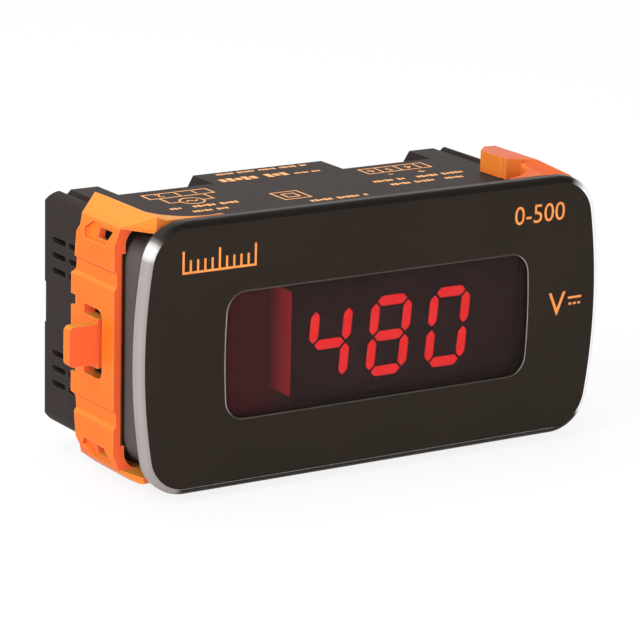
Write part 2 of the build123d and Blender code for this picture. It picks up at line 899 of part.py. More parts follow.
def make_terminal_screw(x):
    shank = rod(screw_radius, x, screw_axis_z, blade_rear + blade_clearance, screw_seat)
    tip = shank.faces().sort_by(Axis.Y)[0].edges()
    shank = chamfer(tip, screw_tip_edge)
    head = rod(screw_head_radius, x, screw_axis_z, screw_seat, screw_head_top)
    head = fillet(head.faces().sort_by(Axis.Y)[-1].edges(), screw_head_edge)
    slot = block_box((x - screw_head_radius, x + screw_head_radius),
                     (screw_head_top - slot_depth, screw_head_top + 1),
                     (screw_axis_z - slot_width / 2, screw_axis_z + slot_width / 2))
    return head + shank - slot


# Clip, drawn for the left side with its long arm on top

def chain(*points):
    """Straight edges from point to point."""
    return [Line(start, end) for start, end in zip(points, points[1:])]


def clip_section():
    """Front view of the clip: outer profile less the case with a running clearance."""
    dent = clip_outer - clip_band_inset
    flank = [
        (-clip_ridge_x, clip_ridge_z),
        (-clip_outer + clip_corner_inset, clip_corner_z),
        (-clip_outer, clip_shoulder_z),
        (-clip_outer, clip_band_high),
        (-dent, clip_band_high - clip_band_inset),
        (-dent, clip_band_low + clip_band_inset),
        (-clip_outer, clip_band_low),
    ]
    long_side = [(-clip_long_tip, clip_arm_top), (-clip_inner_edge, clip_arm_top)] + flank
    short_side = [(-clip_short_tip, clip_short_top), (-clip_short_reach, clip_short_top)] + flank
    below = [(x, -z) for x, z in reversed(short_side)]
    outline = make_face(Polyline(*long_side, *below, close=True))
    return outline - RectangleRounded(2 * clip_hole_half, 2 * clip_hole_top, clip_hole_corner_radius)


def foot_sweep(tip_x, middle, join):
    """Inner edge of a foot: a blunt tip at the bezel, then a hollow curve back to the arm."""
    tip = (-tip_x, clip_clearance)
    blunt = (-tip_x - clip_foot_blunt, clip_clearance + clip_foot_blunt)
    return [Line(tip, blunt), ThreePointArc(blunt, middle, join)]


def clip_plan_long():
    """Plan of the long arm: band along the ridge that sweeps inwards to the bezel."""
    outside = clip_outer + 1
    join = (-clip_inner_edge, clip_foot_start)
    edge = chain((-outside, clip_plate_front), (-clip_arm_root_x, clip_plate_front),
                 (-clip_ridge_x, clip_clearance), (-clip_long_tip, clip_clearance))
    edge += foot_sweep(clip_long_tip, (-clip_long_middle_x, clip_long_middle_y), join)
    edge += chain(join, (-clip_inner_edge, clip_ridge_rear - clip_ridge_bevel),
                  (-clip_ridge_x, clip_ridge_rear), (-outside, clip_wing_rear),
                  (-outside, clip_plate_front))
    return make_face(edge)


def clip_plan_short():
    """Plan of the short arm: a broad pad behind a foot that sweeps inwards to the bezel."""
    outside = clip_outer + 1
    join = (-clip_short_join_x, clip_short_front)
    groove = clip_short_groove
    edge = chain((-outside, clip_plate_front), (-clip_arm_root_x, clip_plate_front),
                 (-clip_toe_x, clip_clearance), (-clip_short_tip, clip_clearance))
    edge += foot_sweep(clip_short_tip, (-clip_short_middle_x, clip_short_middle_y), join)
    edge += chain(join, (-clip_short_reach, clip_short_front),
                  (-clip_short_reach, clip_short_groove_y - groove),
                  (-clip_short_reach - groove, clip_short_groove_y),
                  (-clip_short_reach, clip_short_groove_y + groove),
                  (-clip_short_reach, clip_short_rear), (-clip_short_bend_x, clip_short_bend_y),
                  (-clip_ridge_x, clip_ridge_rear), (-outside, clip_wing_rear),
                  (-outside, clip_plate_front))
    return make_face(edge)


def clip_side_view():
    """Side view of the plate: rear edge that draws in towards both arms, with two notches."""
    rear = clip_plate_rear
    points = [
        (clip_plate_front, clip_hole_top),
        (rear - clip_waist_inset, clip_hole_top),
        (rear - clip_neck_inset, clip_neck_z),
        (rear - clip_waist_inset, clip_waist_z),
        (rear - clip_rear_step, clip_band_low + clip_rear_step),
        (rear, clip_band_low),
        (rear, edge_notch_high),
        (rear - edge_notch_depth, edge_notch_high),
        (rear - edge_notch_depth, edge_notch_low),
        (rear, edge_notch_low),
    ]
    below = [(y, -z) for y, z in reversed(points)]
    return make_face(Polyline(*points, *below, close=True))


def make_clip():
    band = upright(clip_section(), 0, clip_ridge_rear + 1)
    arm_room = case_height
    long_zone = extrude(Plane.XY.offset(clip_hole_top) * clip_plan_long(), amount=arm_room)
    short_zone = extrude(Plane.XY.offset(-clip_hole_top) * clip_plan_short(), amount=-arm_room)
    side_zone = extrude(Plane.YZ.offset(-collar_width) * clip_side_view(), amount=collar_width)
    clip = band & (long_zone + short_zone + side_zone)
    clip -= toe_space()
    clip -= front_chamfer()
    clip -= latch_window()
    clip -= pocket(1)
    clip -= pocket(-1)
    clip += latch_fin()
    clip += latch_tooth()
    return clip


def toe_space():
    """Space over the short arm's foot, and over its toe, which drops towards the bezel."""
    far = -case_height
    over_foot = block_box((-clip_short_join_x, -clip_short_tip + 1), (-1, clip_short_front),
                          (far, -clip_arm_top))
    ridge_end = clip_short_front + clip_toe_rise
    slope = make_face(Polyline((ridge_end, -clip_ridge_z), (clip_clearance, -clip_toe_z),
                               (-1, -clip_toe_z), (-1, far), (ridge_end, far), close=True))
    outside = clip_outer + 1
    over_toe = extrude(Plane.YZ.offset(-outside) * slope, amount=outside - clip_short_join_x)
    return over_foot + over_toe


def front_chamfer():
    """Bevel along the inner front edge of the plate, which leads it onto the case."""
    reach = clip_front_chamfer
    corner = make_face(Polyline((-clip_hole_half + 1, clip_plate_front - 1),
                                (-clip_hole_half - reach - 1, clip_plate_front - 1),
                                (-clip_hole_half + 1, clip_plate_front + reach + 1), close=True))
    return extrude(Plane.XY.offset(-clip_front_chamfer_half) * corner,
                   amount=2 * clip_front_chamfer_half)


def latch_window():
    """Opening round the free end of the latch, and the slot on each side of it."""
    outside = (-collar_width, -collar_width / 2 + 1)
    hole = block_box(outside, (latch_window_front, latch_window_rear),
                     (-latch_window_half, latch_window_half))
    front_edges = hole.edges().filter_by(Axis.X).sort_by(Axis.Y)[:2]
    hole = fillet(front_edges, latch_window_corner)
    tongue = block_box(outside, (fin_front, latch_window_rear + 1), (-latch_half, latch_half))
    return hole - tongue


def latch_fin():
    """Finger fin at the free end of the latch."""
    fin = block_box((-clip_outer - fin_reach, -clip_outer + 1), (fin_front, fin_front + fin_thickness),
                    (-fin_half, fin_half))
    corners = fin.edges().filter_by(Axis.Y).sort_by(Axis.X)[:2]
    return fillet(corners, fin_corner)


def latch_tooth():
    """Tooth inside the latch, shown lifted just clear of the rack."""
    root = clip_hole_half + latch_tooth_root
    tip = body_half + rack_tooth_height + latch_tooth_gap
    profile = make_face(Polyline((-root, fin_front), (-tip, fin_front + latch_tooth_lead),
                                 (-root, fin_front + latch_tooth_length), close=True))
    return extrude(Plane.XY.offset(-latch_tooth_half) * profile, amount=2 * latch_tooth_half)


def pocket(up):
    """Sunk six-sided pocket with a smaller through hole, near each bent corner of the clip."""
    middle = (pocket_low + pocket_high) / 2
    floor = clip_outer - pocket_depth
    rim = make_face(Polyline((pocket_front_top, pocket_high), (pocket_rear_top, pocket_high),
                             (pocket_point, middle), (pocket_rear_low, pocket_low),
                             (pocket_front_low, pocket_low), close=True))
    hole = make_face(Polyline((pocket_hole_front, pocket_hole_high), (pocket_hole_rear, pocket_hole_high),
                              (pocket_hole_rear, pocket_hole_low),
                              (pocket_hole_front + pocket_hole_slant, pocket_hole_low), close=True))
    sunk = extrude(Plane.YZ.offset(-floor) * rim, amount=-collar_width / 2)
    through = extrude(Plane.YZ.offset(-floor + clip_thickness) * hole, amount=-collar_width / 2)
    tilt = Pos(-floor, 0, middle) * Rot(0, pocket_tilt_degrees, 0) * Pos(floor, 0, -middle)
    both = tilt * (sunk + through)
    return both if up > 0 else mirror(both, about=Plane.XY)


def build_parts():
    parts = {
        "front_lens": make_front_lens(),
        "facia_film": make_facia_film(),
        "red_filter": make_red_filter(),
        "bezel_frame": make_bezel_frame(),
        "case": make_case(),
        "display_module": make_display_module(),
        "display_board": make_display_board(),
        "main_board": make_main_board(),
        "pin_header": make_pin_header(),
        "transformer_core": make_transformer_core(),
        "transformer_bobbin": make_bobbin(),
        "transformer_winding": make_winding(),
        "supply_capacitor": make_capacitor(capacitor_x, capacitor_radius, capacitor_height),
        "filter_capacitor": make_capacitor(small_capacitor_x, small_capacitor_radius,
                                           small_capacitor_height),
        "input_resistors": make_resistors(),
        "controller_chip": make_chip(),
        "bridge_rectifier": make_bridge(),
    }
    left, middle, right = digit_centres()
    parts["left_digit_lit"] = Compound(segment_solids(left, "bcfg"))
    parts["left_digit_dark"] = Compound(segment_solids(left, "ade"))
    parts["middle_digit_lit"] = Compound(segment_solids(middle, "abcdefg"))
    parts["right_digit_lit"] = Compound(segment_solids(right, "abcdef"))
    parts["right_digit_dark"] = Compound(segment_solids(right, "g"))
    parts["decimal_points"] = Compound(point_solids())
    for side, side_name in ((-1, "left"), (1, "right")):
        parts[f"{side_name}_board_screw"] = make_board_screw(side)
        parts[f"{side_name}_terminal_block"] = make_terminal_block(side)
        parts[f"{side_name}_contact_blades"] = make_contact_blades(side)
        for index, x in enumerate(way_centres(side), start=1):
            parts[f"{side_name}_terminal_cage_{index}"] = make_cage(x)
            parts[f"{side_name}_terminal_screw_{index}"] = make_terminal_screw(x)
    clip = make_clip()
    parts["left_clip"] = clip
    parts["right_clip"] = Rot(0, 180, 0) * clip
    return parts


def main():
    os.makedirs("parts", exist_ok=True)
    for name, shape in build_parts().items():
        export_step(shape, f"parts/{name}.step")


main()
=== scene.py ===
# %% [markdown]
# A digital panel meter, dressed for a studio photograph
#
# The meter is a black box with a flat clear front, three red digits behind a dark window, and
# two orange clips that hold it in a panel. The solids come from the construction model, in
# metres, and this script never moves them. It gives each one a finish, and it adds what a
# construction model leaves out: soft edges, printed marks, the glow of the digits and light.

# %% Load the construction model
import json
import math

import bmesh
import bpy
from mathutils import Matrix, Vector

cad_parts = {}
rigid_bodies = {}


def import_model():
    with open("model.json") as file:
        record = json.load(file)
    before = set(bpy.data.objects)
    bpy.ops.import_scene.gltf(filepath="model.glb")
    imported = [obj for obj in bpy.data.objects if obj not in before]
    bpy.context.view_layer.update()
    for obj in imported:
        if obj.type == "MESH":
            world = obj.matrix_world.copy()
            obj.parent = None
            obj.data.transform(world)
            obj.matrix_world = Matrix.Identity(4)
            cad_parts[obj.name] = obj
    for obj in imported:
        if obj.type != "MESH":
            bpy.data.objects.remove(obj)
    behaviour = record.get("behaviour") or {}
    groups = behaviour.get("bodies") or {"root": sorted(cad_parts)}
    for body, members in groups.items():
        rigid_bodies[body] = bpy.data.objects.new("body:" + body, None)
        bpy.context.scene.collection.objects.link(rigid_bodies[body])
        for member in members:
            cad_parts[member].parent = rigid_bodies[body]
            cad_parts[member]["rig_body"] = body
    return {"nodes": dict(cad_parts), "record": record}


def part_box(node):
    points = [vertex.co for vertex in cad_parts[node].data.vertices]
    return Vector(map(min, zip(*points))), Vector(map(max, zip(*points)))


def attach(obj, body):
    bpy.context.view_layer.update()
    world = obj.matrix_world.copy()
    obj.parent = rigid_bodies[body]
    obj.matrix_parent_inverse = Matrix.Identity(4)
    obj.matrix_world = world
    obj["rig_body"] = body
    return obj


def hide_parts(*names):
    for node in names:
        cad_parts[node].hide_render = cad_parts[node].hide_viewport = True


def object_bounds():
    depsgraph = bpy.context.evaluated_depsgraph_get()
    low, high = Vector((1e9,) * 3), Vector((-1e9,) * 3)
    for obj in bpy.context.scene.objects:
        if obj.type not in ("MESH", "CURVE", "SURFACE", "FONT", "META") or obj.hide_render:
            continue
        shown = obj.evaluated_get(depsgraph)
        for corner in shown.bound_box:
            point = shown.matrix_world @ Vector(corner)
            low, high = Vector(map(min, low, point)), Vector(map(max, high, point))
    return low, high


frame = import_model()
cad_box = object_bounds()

MM = 0.001
nodes = frame["nodes"]
print("nodes loaded:", len(nodes))
print("box of the solids:", [[round(v, 4) for v in corner] for corner in cad_box])

# %% [markdown]
# The camera comes first, because everything after it is judged through it. The photograph was
# taken from the left and a little above, with a long lens, so the front keeps nearly parallel
# edges. Yaw, pitch and roll say where the lens points, and the distance sets the perspective.

# %% Camera
camera_place = Vector((-0.32549, -0.49217, 0.15864))
camera_yaw = math.radians(32.72)
camera_pitch = math.radians(14.96)
camera_roll = math.radians(1.32)

camera_data = bpy.data.cameras.new("studio_camera")
camera_data.sensor_width = 36.0
camera_data.lens = 195.2
camera_data.clip_start = 0.01
camera = bpy.data.objects.new("studio_camera", camera_data)
aim = (Matrix.Rotation(-camera_yaw, 4, "Z")
       @ Matrix.Rotation(math.pi / 2 - camera_pitch, 4, "X")
       @ Matrix.Rotation(camera_roll, 4, "Z"))
camera.matrix_world = Matrix.Translation(camera_place) @ aim
bpy.context.scene.collection.objects.link(camera)
bpy.context.scene.camera = camera
bpy.context.scene.view_settings.view_transform = "Standard"
print("camera at", [round(v, 3) for v in camera_place])

# %% [markdown]
# The studio is a pale floor under a white world. Light Path tells a material which kind of ray
# asks for its colour: the camera, mirror rays and rays through glass see plain white, while the
# rays that light the object see a calmer grey. That keeps the background white and the object
# at a level where a colour looks as it is written. The floor is solid from above only: its back
# is clear, so a camera below it sees the underside of the meter.

# %% White for the eye, grey for the light
def seen_share(tree, camera_share):
    """Value that is high for camera, mirror and glass rays, and 0 for rays of light."""
    path = tree.nodes.new("ShaderNodeLightPath")
    mirror_or_glass = tree.nodes.new("ShaderNodeMath")
    mirror_or_glass.operation = "MAXIMUM"
    tree.links.new(path.outputs["Is Glossy Ray"], mirror_or_glass.inputs[0])
    tree.links.new(path.outputs["Is Transmission Ray"], mirror_or_glass.inputs[1])
    share = tree.nodes.new("ShaderNodeMath")
    share.operation = "MULTIPLY_ADD"
    share.use_clamp = True
    share.inputs[1].default_value = camera_share
    tree.links.new(path.outputs["Is Camera Ray"], share.inputs[0])
    tree.links.new(mirror_or_glass.outputs[0], share.inputs[2])
    return share.outputs[0]


world = bpy.data.worlds.new("studio")
bpy.context.scene.world = world
world.use_nodes = True
tree = world.node_tree
tree.nodes.clear()
output = tree.nodes.new("ShaderNodeOutputWorld")
seen = tree.nodes.new("ShaderNodeBackground")
seen.inputs["Color"].default_value = (1.0, 1.0, 1.0, 1.0)
lighting = tree.nodes.new("ShaderNodeBackground")
lighting.inputs["Color"].default_value = (0.95, 0.97, 1.0, 1.0)
lighting.inputs["Strength"].default_value = 0.45
choose = tree.nodes.new("ShaderNodeMixShader")
tree.links.new(seen_share(tree, 1.0), choose.inputs[0])
tree.links.new(lighting.outputs[0], choose.inputs[1])
tree.links.new(seen.outputs[0], choose.inputs[2])
tree.links.new(choose.outputs[0], output.inputs["Surface"])
print("world ready")

# %% Floor
floor_level = cad_box[0][2]
floor_half = 3.0
floor_grey = 0.86
work = bmesh.new()
bmesh.ops.create_grid(work, x_segments=1, y_segments=1, size=floor_half)
bmesh.ops.translate(work, vec=(0, 0, floor_level), verts=work.verts)
floor_mesh = bpy.data.meshes.new("floor")
work.to_mesh(floor_mesh)
work.free()
floor = bpy.data.objects.new("floor", floor_mesh)
bpy.context.scene.collection.objects.link(floor)

floor_paint = bpy.data.materials.new("floor_paint")
floor_paint.use_nodes = True
tree = floor_paint.node_tree
shader = tree.nodes["Principled BSDF"]
shader.inputs["Base Color"].default_value = (floor_grey, floor_grey, floor_grey, 1.0)
shader.inputs["Roughness"].default_value = 0.9
shader.inputs["Specular IOR Level"].default_value = 0.0
lift = tree.nodes.new("ShaderNodeEmission")
lift.inputs["Strength"].default_value = 1.0
blend = tree.nodes.new("ShaderNodeMixShader")
tree.links.new(seen_share(tree, floor_grey), blend.inputs[0])
tree.links.new(shader.outputs[0], blend.inputs[1])
tree.links.new(lift.outputs[0], blend.inputs[2])
one_way = tree.nodes.new("ShaderNodeMixShader")
tree.links.new(tree.nodes.new("ShaderNodeNewGeometry").outputs["Backfacing"], one_way.inputs[0])
tree.links.new(blend.outputs[0], one_way.inputs[1])
tree.links.new(tree.nodes.new("ShaderNodeBsdfTransparent").outputs[0], one_way.inputs[2])
tree.links.new(one_way.outputs[0], tree.nodes["Material Output"].inputs["Surface"])
floor.data.materials.append(floor_paint)
print("floor at", round(floor_level / MM, 2), "mm")

# %% [markdown]
# Three large soft lamps stand in for softboxes. The key comes from the upper left, where the
# photograph has its brightest plastic. A weaker fill keeps the front open, and a wide one
# above draws the light edge along the top.

# %% Lamps
def softbox(name, place, size, watts, tint=(1.0, 1.0, 1.0)):
    lamp = bpy.data.lights.new(name, "AREA")
    lamp.shape = "RECTANGLE"
    lamp.size, lamp.size_y = size
    lamp.energy = watts
    lamp.color = tint
    holder = bpy.data.objects.new(name, lamp)
    target = Vector((0.0, 0.015, 0.0))
    place = Vector(place)
    turn = (target - place).to_track_quat("-Z", "Y")
    holder.matrix_world = Matrix.Translation(place) @ turn.to_matrix().to_4x4()
    bpy.context.scene.collection.objects.link(holder)
    print(name, "at", [round(v, 2) for v in place], watts, "W")
    return holder


softbox("key_light", (-0.85, -0.15, 0.6), (0.6, 0.6), 7.5)
softbox("fill_light", (-0.5, -1.0, 0.2), (0.8, 0.8), 9.0)
softbox("top_light", (0.0, 0.3, 0.95), (0.9, 0.6), 6.0, (1.0, 0.97, 0.92))

# %% [markdown]
# Moulded plastic is never quite even. Its surface has the fine spark grain of the mould, and its
# tone drifts a little from place to place. Both plastics and several inner pieces need that, so
# it is a node group: one set of nodes with named inputs, placed in each finish with its own
# numbers. Everything reads Object coordinates, so it stays put when the camera moves.

# %% Helpers for node groups
def make_group(name, inputs, outputs):
    group = bpy.data.node_groups.new(name, "ShaderNodeTree")
    for label, kind, value in inputs:
        socket = group.interface.new_socket(label, in_out="INPUT", socket_type=kind)
        socket.default_value = value
    for label, kind in outputs:
        group.interface.new_socket(label, in_out="OUTPUT", socket_type=kind)
    return group, group.nodes.new("NodeGroupInput"), group.nodes.new("NodeGroupOutput")


def math_node(tree, operation, first, second=None, clamp=False):
    """Math node whose inputs are sockets or plain numbers."""
    step = tree.nodes.new("ShaderNodeMath")
    step.operation = operation
    step.use_clamp = clamp
    for index, value in enumerate((first, second)):
        if value is None:
            continue
        if isinstance(value, (int, float)):
            step.inputs[index].default_value = value
        else:
            tree.links.new(value, step.inputs[index])
    return step.outputs[0]


print("helpers for node groups ready")

# %% Group: moulded surface
surface, group_in, group_out = make_group(
    "moulded_surface",
    [("Grain per mm", "NodeSocketFloat", 3.0), ("Cloud per mm", "NodeSocketFloat", 0.08),
     ("Grain in tone", "NodeSocketFloat", 0.4)],
    [("Tone", "NodeSocketFloat"), ("Height", "NodeSocketFloat")])
place_read = surface.nodes.new("ShaderNodeTexCoord")
grain = surface.nodes.new("ShaderNodeTexNoise")
grain.inputs["Detail"].default_value = 2.0
cloud = surface.nodes.new("ShaderNodeTexNoise")
cloud.inputs["Detail"].default_value = 3.0
surface.links.new(place_read.outputs["Object"], grain.inputs["Vector"])
surface.links.new(place_read.outputs["Object"], cloud.inputs["Vector"])
surface.links.new(math_node(surface, "MULTIPLY", group_in.outputs["Grain per mm"], 1000.0),
                  grain.inputs["Scale"])
surface.links.new(math_node(surface, "MULTIPLY", group_in.outputs["Cloud per mm"], 1000.0),
                  cloud.inputs["Scale"])
tone_mix = surface.nodes.new("ShaderNodeMix")
surface.links.new(group_in.outputs["Grain in tone"], tone_mix.inputs[0])
surface.links.new(cloud.outputs[0], tone_mix.inputs[2])
surface.links.new(grain.outputs[0], tone_mix.inputs[3])
surface.links.new(tone_mix.outputs[0], group_out.inputs["Tone"])
surface.links.new(grain.outputs[0], group_out.inputs["Height"])
print("group:", surface.name)

# %% [markdown]
# The second group finds edges. The Bevel node gives the normal that a surface would have if its
# edges were rounded. Where that differs from the plain normal there is an edge, and the
# difference becomes a mask. The effect needs no extra faces, so it works on every piece.

# %% Group: light on edges
edges, group_in, group_out = make_group(
    "edge_light", [("Radius", "NodeSocketFloat", 0.0003), ("Gain", "NodeSocketFloat", 6.0)],
    [("Mask", "NodeSocketFloat")])
rounded = edges.nodes.new("ShaderNodeBevel")
rounded.samples = 6
edges.links.new(group_in.outputs["Radius"], rounded.inputs["Radius"])
plain_normal = edges.nodes.new("ShaderNodeNewGeometry")
compare = edges.nodes.new("ShaderNodeVectorMath")
compare.operation = "DOT_PRODUCT"
edges.links.new(rounded.outputs[0], compare.inputs[0])
edges.links.new(plain_normal.outputs["Normal"], compare.inputs[1])
turned = math_node(edges, "SUBTRACT", 1.0, compare.outputs["Value"])
edges.links.new(math_node(edges, "MULTIPLY", turned, group_in.outputs["Gain"], clamp=True),
                group_out.inputs["Mask"])
print("group:", edges.name)

# %% [markdown]
# Stacked sheets, wound wire and brush marks are all even bands. A dot product says how far a
# point lies along one direction, and a sine turns that length into bands.

# %% Group: even bands
bands, group_in, group_out = make_group(
    "even_bands", [("Direction", "NodeSocketVector", (0.0, 1.0, 0.0)), ("Per mm", "NodeSocketFloat", 2.0)],
    [("Bands", "NodeSocketFloat")])
place_read = bands.nodes.new("ShaderNodeTexCoord")
along = bands.nodes.new("ShaderNodeVectorMath")
along.operation = "DOT_PRODUCT"
bands.links.new(place_read.outputs["Object"], along.inputs[0])
bands.links.new(group_in.outputs["Direction"], along.inputs[1])
turns = math_node(bands, "MULTIPLY", along.outputs["Value"], group_in.outputs["Per mm"])
waves = math_node(bands, "SINE", math_node(bands, "MULTIPLY", turns, 2000.0 * math.pi))
bands.links.new(math_node(bands, "ADD", math_node(bands, "MULTIPLY", waves, 0.5), 0.5),
                group_out.inputs["Bands"])
print("group:", bands.name)

# %% [markdown]
# Each finish starts from the same few lines: a Principled shader, the surface group for tone and
# grain, and two colours that the tone blends. The range of the blend stays small, because a
# moulded part is meant to be even, but a perfectly even colour looks like a computer picture.

# %% Helpers for finishes
def use_group(tree, group, **values):
    placed = tree.nodes.new("ShaderNodeGroup")
    placed.node_tree = group
    for label, value in values.items():
        placed.inputs[label.replace("_", " ")].default_value = value
    return placed


def blend_colours(tree, share, first, second):
    """Mix of two colours, each a tuple or a socket, by a socket from 0 to 1."""
    mixed = tree.nodes.new("ShaderNodeMix")
    mixed.data_type = "RGBA"
    tree.links.new(share, mixed.inputs[0])
    for index, colour in ((6, first), (7, second)):
        if isinstance(colour, tuple):
            mixed.inputs[index].default_value = (*colour, 1.0)
        else:
            tree.links.new(colour, mixed.inputs[index])
    return mixed.outputs[2]


def ramp(tree, value, low, high):
    """Value stretched so that low gives 0 and high gives 1."""
    stretch = tree.nodes.new("ShaderNodeMapRange")
    stretch.inputs["From Min"].default_value = low
    stretch.inputs["From Max"].default_value = high
    tree.links.new(value, stretch.inputs["Value"])
    return stretch.outputs["Result"]


def parts_of(tree, vector):
    """X, Y and Z of a vector socket."""
    split = tree.nodes.new("ShaderNodeSeparateXYZ")
    tree.links.new(vector, split.inputs[0])
    return split.outputs


def facing_parts(tree):
    """X, Y and Z of the direction in which the surface faces."""
    return parts_of(tree, tree.nodes.new("ShaderNodeNewGeometry").outputs["Normal"])


def place_parts(tree):
    """X, Y and Z of a point on the object, in metres."""
    return parts_of(tree, tree.nodes.new("ShaderNodeTexCoord").outputs["Object"])


print("helpers for finishes ready")

# %% [markdown]
# A finish is then one call. It gives back the material with its tree, shader and colour, so that a finish
# that needs more, such as a tint by direction, can go on from there. A second helper paints a highlight
# along the edges of a piece: a lighter colour where light catches them.

# %% A moulded finish and its edges
def moulded(name, dark, light, rough, gloss=0.5, grain_mm=3.0, cloud_mm=0.08, bump=0.15, coarse=0.4):
    """Plastic-like finish. Gives the material, its tree, its shader and its colour socket."""
    finish = bpy.data.materials.new(name)
    finish.use_nodes = True
    tree = finish.node_tree
    shader = tree.nodes["Principled BSDF"]
    shader.inputs["Specular IOR Level"].default_value = gloss
    placed = use_group(tree, surface, Grain_per_mm=grain_mm, Cloud_per_mm=cloud_mm,
                       Grain_in_tone=coarse)
    tone = ramp(tree, placed.outputs["Tone"], 0.3, 0.7)
    colour = blend_colours(tree, tone, dark, light)
    tree.links.new(colour, shader.inputs["Base Color"])
    spread = ramp(tree, placed.outputs["Tone"], 0.3, 0.7)
    roughness = tree.nodes.new("ShaderNodeMapRange")
    tree.links.new(spread, roughness.inputs["Value"])
    roughness.inputs["To Min"].default_value = rough - 0.05
    roughness.inputs["To Max"].default_value = rough + 0.07
    tree.links.new(roughness.outputs["Result"], shader.inputs["Roughness"])
    if bump:
        relief = tree.nodes.new("ShaderNodeBump")
        relief.inputs["Strength"].default_value = bump
        relief.inputs["Distance"].default_value = 0.02 * MM
        tree.links.new(placed.outputs["Height"], relief.inputs["Height"])
        tree.links.new(relief.outputs[0], shader.inputs["Normal"])
    return finish, tree, shader, colour


def lit_edges(tree, shader, colour, highlight_colour, share, radius_mm, gain=6.0):
    """Painted highlight: a lighter colour along the edges, where light catches them."""
    placed = use_group(tree, edges, Radius=radius_mm * MM, Gain=gain)
    mask = math_node(tree, "MULTIPLY", placed.outputs["Mask"], share)
    tree.links.new(blend_colours(tree, mask, colour, highlight_colour), shader.inputs["Base Color"])


finishes = {}
print("finish helpers ready")

# %% [markdown]
# The case is black plastic with a warm, matt look. Real black plastic is a dark grey, and its
# gloss is kept low, because a white studio mirrored in it would wash the black out.

# %% Black plastic
black, tree, shader, colour = moulded("black_plastic", (0.02, 0.0145, 0.0125), (0.033, 0.025, 0.022),
                                      0.55, gloss=0.06, grain_mm=2.6, bump=0.25)
# Painted sheen: the side faces of the collar near the front are painted a lighter grey.
collar_end, collar_fade = 6.5 * MM, 1.0 * MM
sideways = ramp(tree, math_node(tree, "ABSOLUTE", facing_parts(tree)["X"]), 0.7, 0.95)
in_collar = ramp(tree, place_parts(tree)["Y"], collar_end, collar_end - collar_fade)
collar_sheen = math_node(tree, "MULTIPLY", sideways, in_collar)
colour = blend_colours(tree, collar_sheen, colour, (0.08, 0.075, 0.069))
lit_edges(tree, shader, colour, (0.085, 0.078, 0.075), share=0.55, radius_mm=0.25)
finishes["black_plastic"] = black
bezel_black, tree, shader, colour = moulded("bezel_plastic", (0.022, 0.019, 0.018),
                                            (0.034, 0.03, 0.028), 0.5, gloss=0.1, grain_mm=1.4,
                                            cloud_mm=0.3, bump=0.25)
# Painted sheen: the bezel's side faces are painted a lighter grey.
sideways = math_node(tree, "ABSOLUTE", facing_parts(tree)["X"])
colour = blend_colours(tree, ramp(tree, sideways, 0.7, 0.95), colour, (0.05, 0.047, 0.044))
lit_edges(tree, shader, colour, (0.1, 0.1, 0.098), share=0.5, radius_mm=0.25)
block_black, tree, shader, colour = moulded("terminal_plastic", (0.016, 0.016, 0.017),
                                            (0.026, 0.026, 0.027), 0.45, gloss=0.3)
lit_edges(tree, shader, colour, (0.07, 0.07, 0.07), share=0.5, radius_mm=0.2)
finishes["terminal_plastic"] = block_black
print("black plastics ready")

# %% [markdown]
# The clips are a bright orange, and their light and shade are painted into the colour. A mask from the
# direction of each face, which belongs to the surface and not to the camera, paints faces turned up
# yellower, faces turned forward a brighter orange and faces turned down redder. The thin arms at the top
# and bottom get a painted yellow light. The top of the clip further from the lamps gets a painted red
# shade. Masks from their place do both.

# %% Orange plastic
orange, tree, shader, colour = moulded("orange_plastic", (0.73, 0.126, 0.01), (0.83, 0.162, 0.015),
                                       0.4, gloss=0.08, grain_mm=1.6, cloud_mm=0.12, bump=0.12)
arm_starts, arm_full = 21.2 * MM, 22.4 * MM
far_starts, far_full = 20.0 * MM, 30.0 * MM
facing = facing_parts(tree)
places = place_parts(tree)
# Painted light and shade by facing: yellower up, brighter orange forward, redder down.
up = ramp(tree, facing["Z"], 0.2, 0.95)
colour = blend_colours(tree, up, colour, (0.56, 0.225, 0.028))
forward = math_node(tree, "MULTIPLY", facing["Y"], -1.0)
colour = blend_colours(tree, ramp(tree, forward, 0.4, 1.0), colour, (0.86, 0.12, 0.036))
down = math_node(tree, "MULTIPLY", facing["Z"], -1.0)
colour = blend_colours(tree, ramp(tree, down, 0.2, 1.0), colour, (0.62, 0.05, 0.02))
# Painted light: the thin arms near the top and bottom are painted yellower.
height = math_node(tree, "ABSOLUTE", places["Z"])
thin_arm_light = math_node(tree, "MULTIPLY", ramp(tree, height, arm_starts, arm_full), 0.6)
colour = blend_colours(tree, thin_arm_light, colour, (0.72, 0.25, 0.038))
# Painted shade: the top of the clip on the right, further from the lamps, is painted redder.
far_side = math_node(tree, "MULTIPLY", ramp(tree, places["X"], far_starts, far_full), 0.85)
far_top_shade = math_node(tree, "MULTIPLY", up, far_side)
colour = blend_colours(tree, far_top_shade, colour, (0.62, 0.075, 0.012))
lit_edges(tree, shader, colour, (1.0, 0.42, 0.17), share=0.45, radius_mm=0.25)
finishes["orange_plastic"] = orange
print("orange plastic ready")

# %% [markdown]
# The front is a clear plate over a film and a red filter. A refracting glass is one way to make
# the plate, but all the light on the print would then come through it by chance, which leaves
# specks, and the white studio would lie on the dark print as a veil. The plate is thin and flat,
# so a low alpha does the same without specks: its gloss stays, and the rest passes straight on.

# %% Clear plate
lens_finish = bpy.data.materials.new("clear_lens")
lens_finish.use_nodes = True
tree = lens_finish.node_tree
shader = tree.nodes["Principled BSDF"]
shader.inputs["Base Color"].default_value = (0.02, 0.02, 0.02, 1.0)
shader.inputs["Roughness"].default_value = 0.06
placed = use_group(tree, surface, Grain_per_mm=0.6, Cloud_per_mm=0.03, Grain_in_tone=0.0)
haze = tree.nodes.new("ShaderNodeMapRange")
haze.inputs["To Min"].default_value = 0.02
haze.inputs["To Max"].default_value = 0.04
tree.links.new(placed.outputs["Tone"], haze.inputs["Value"])
tree.links.new(haze.outputs["Result"], shader.inputs["Alpha"])
finishes["clear_lens"] = lens_finish
print("clear plate ready")

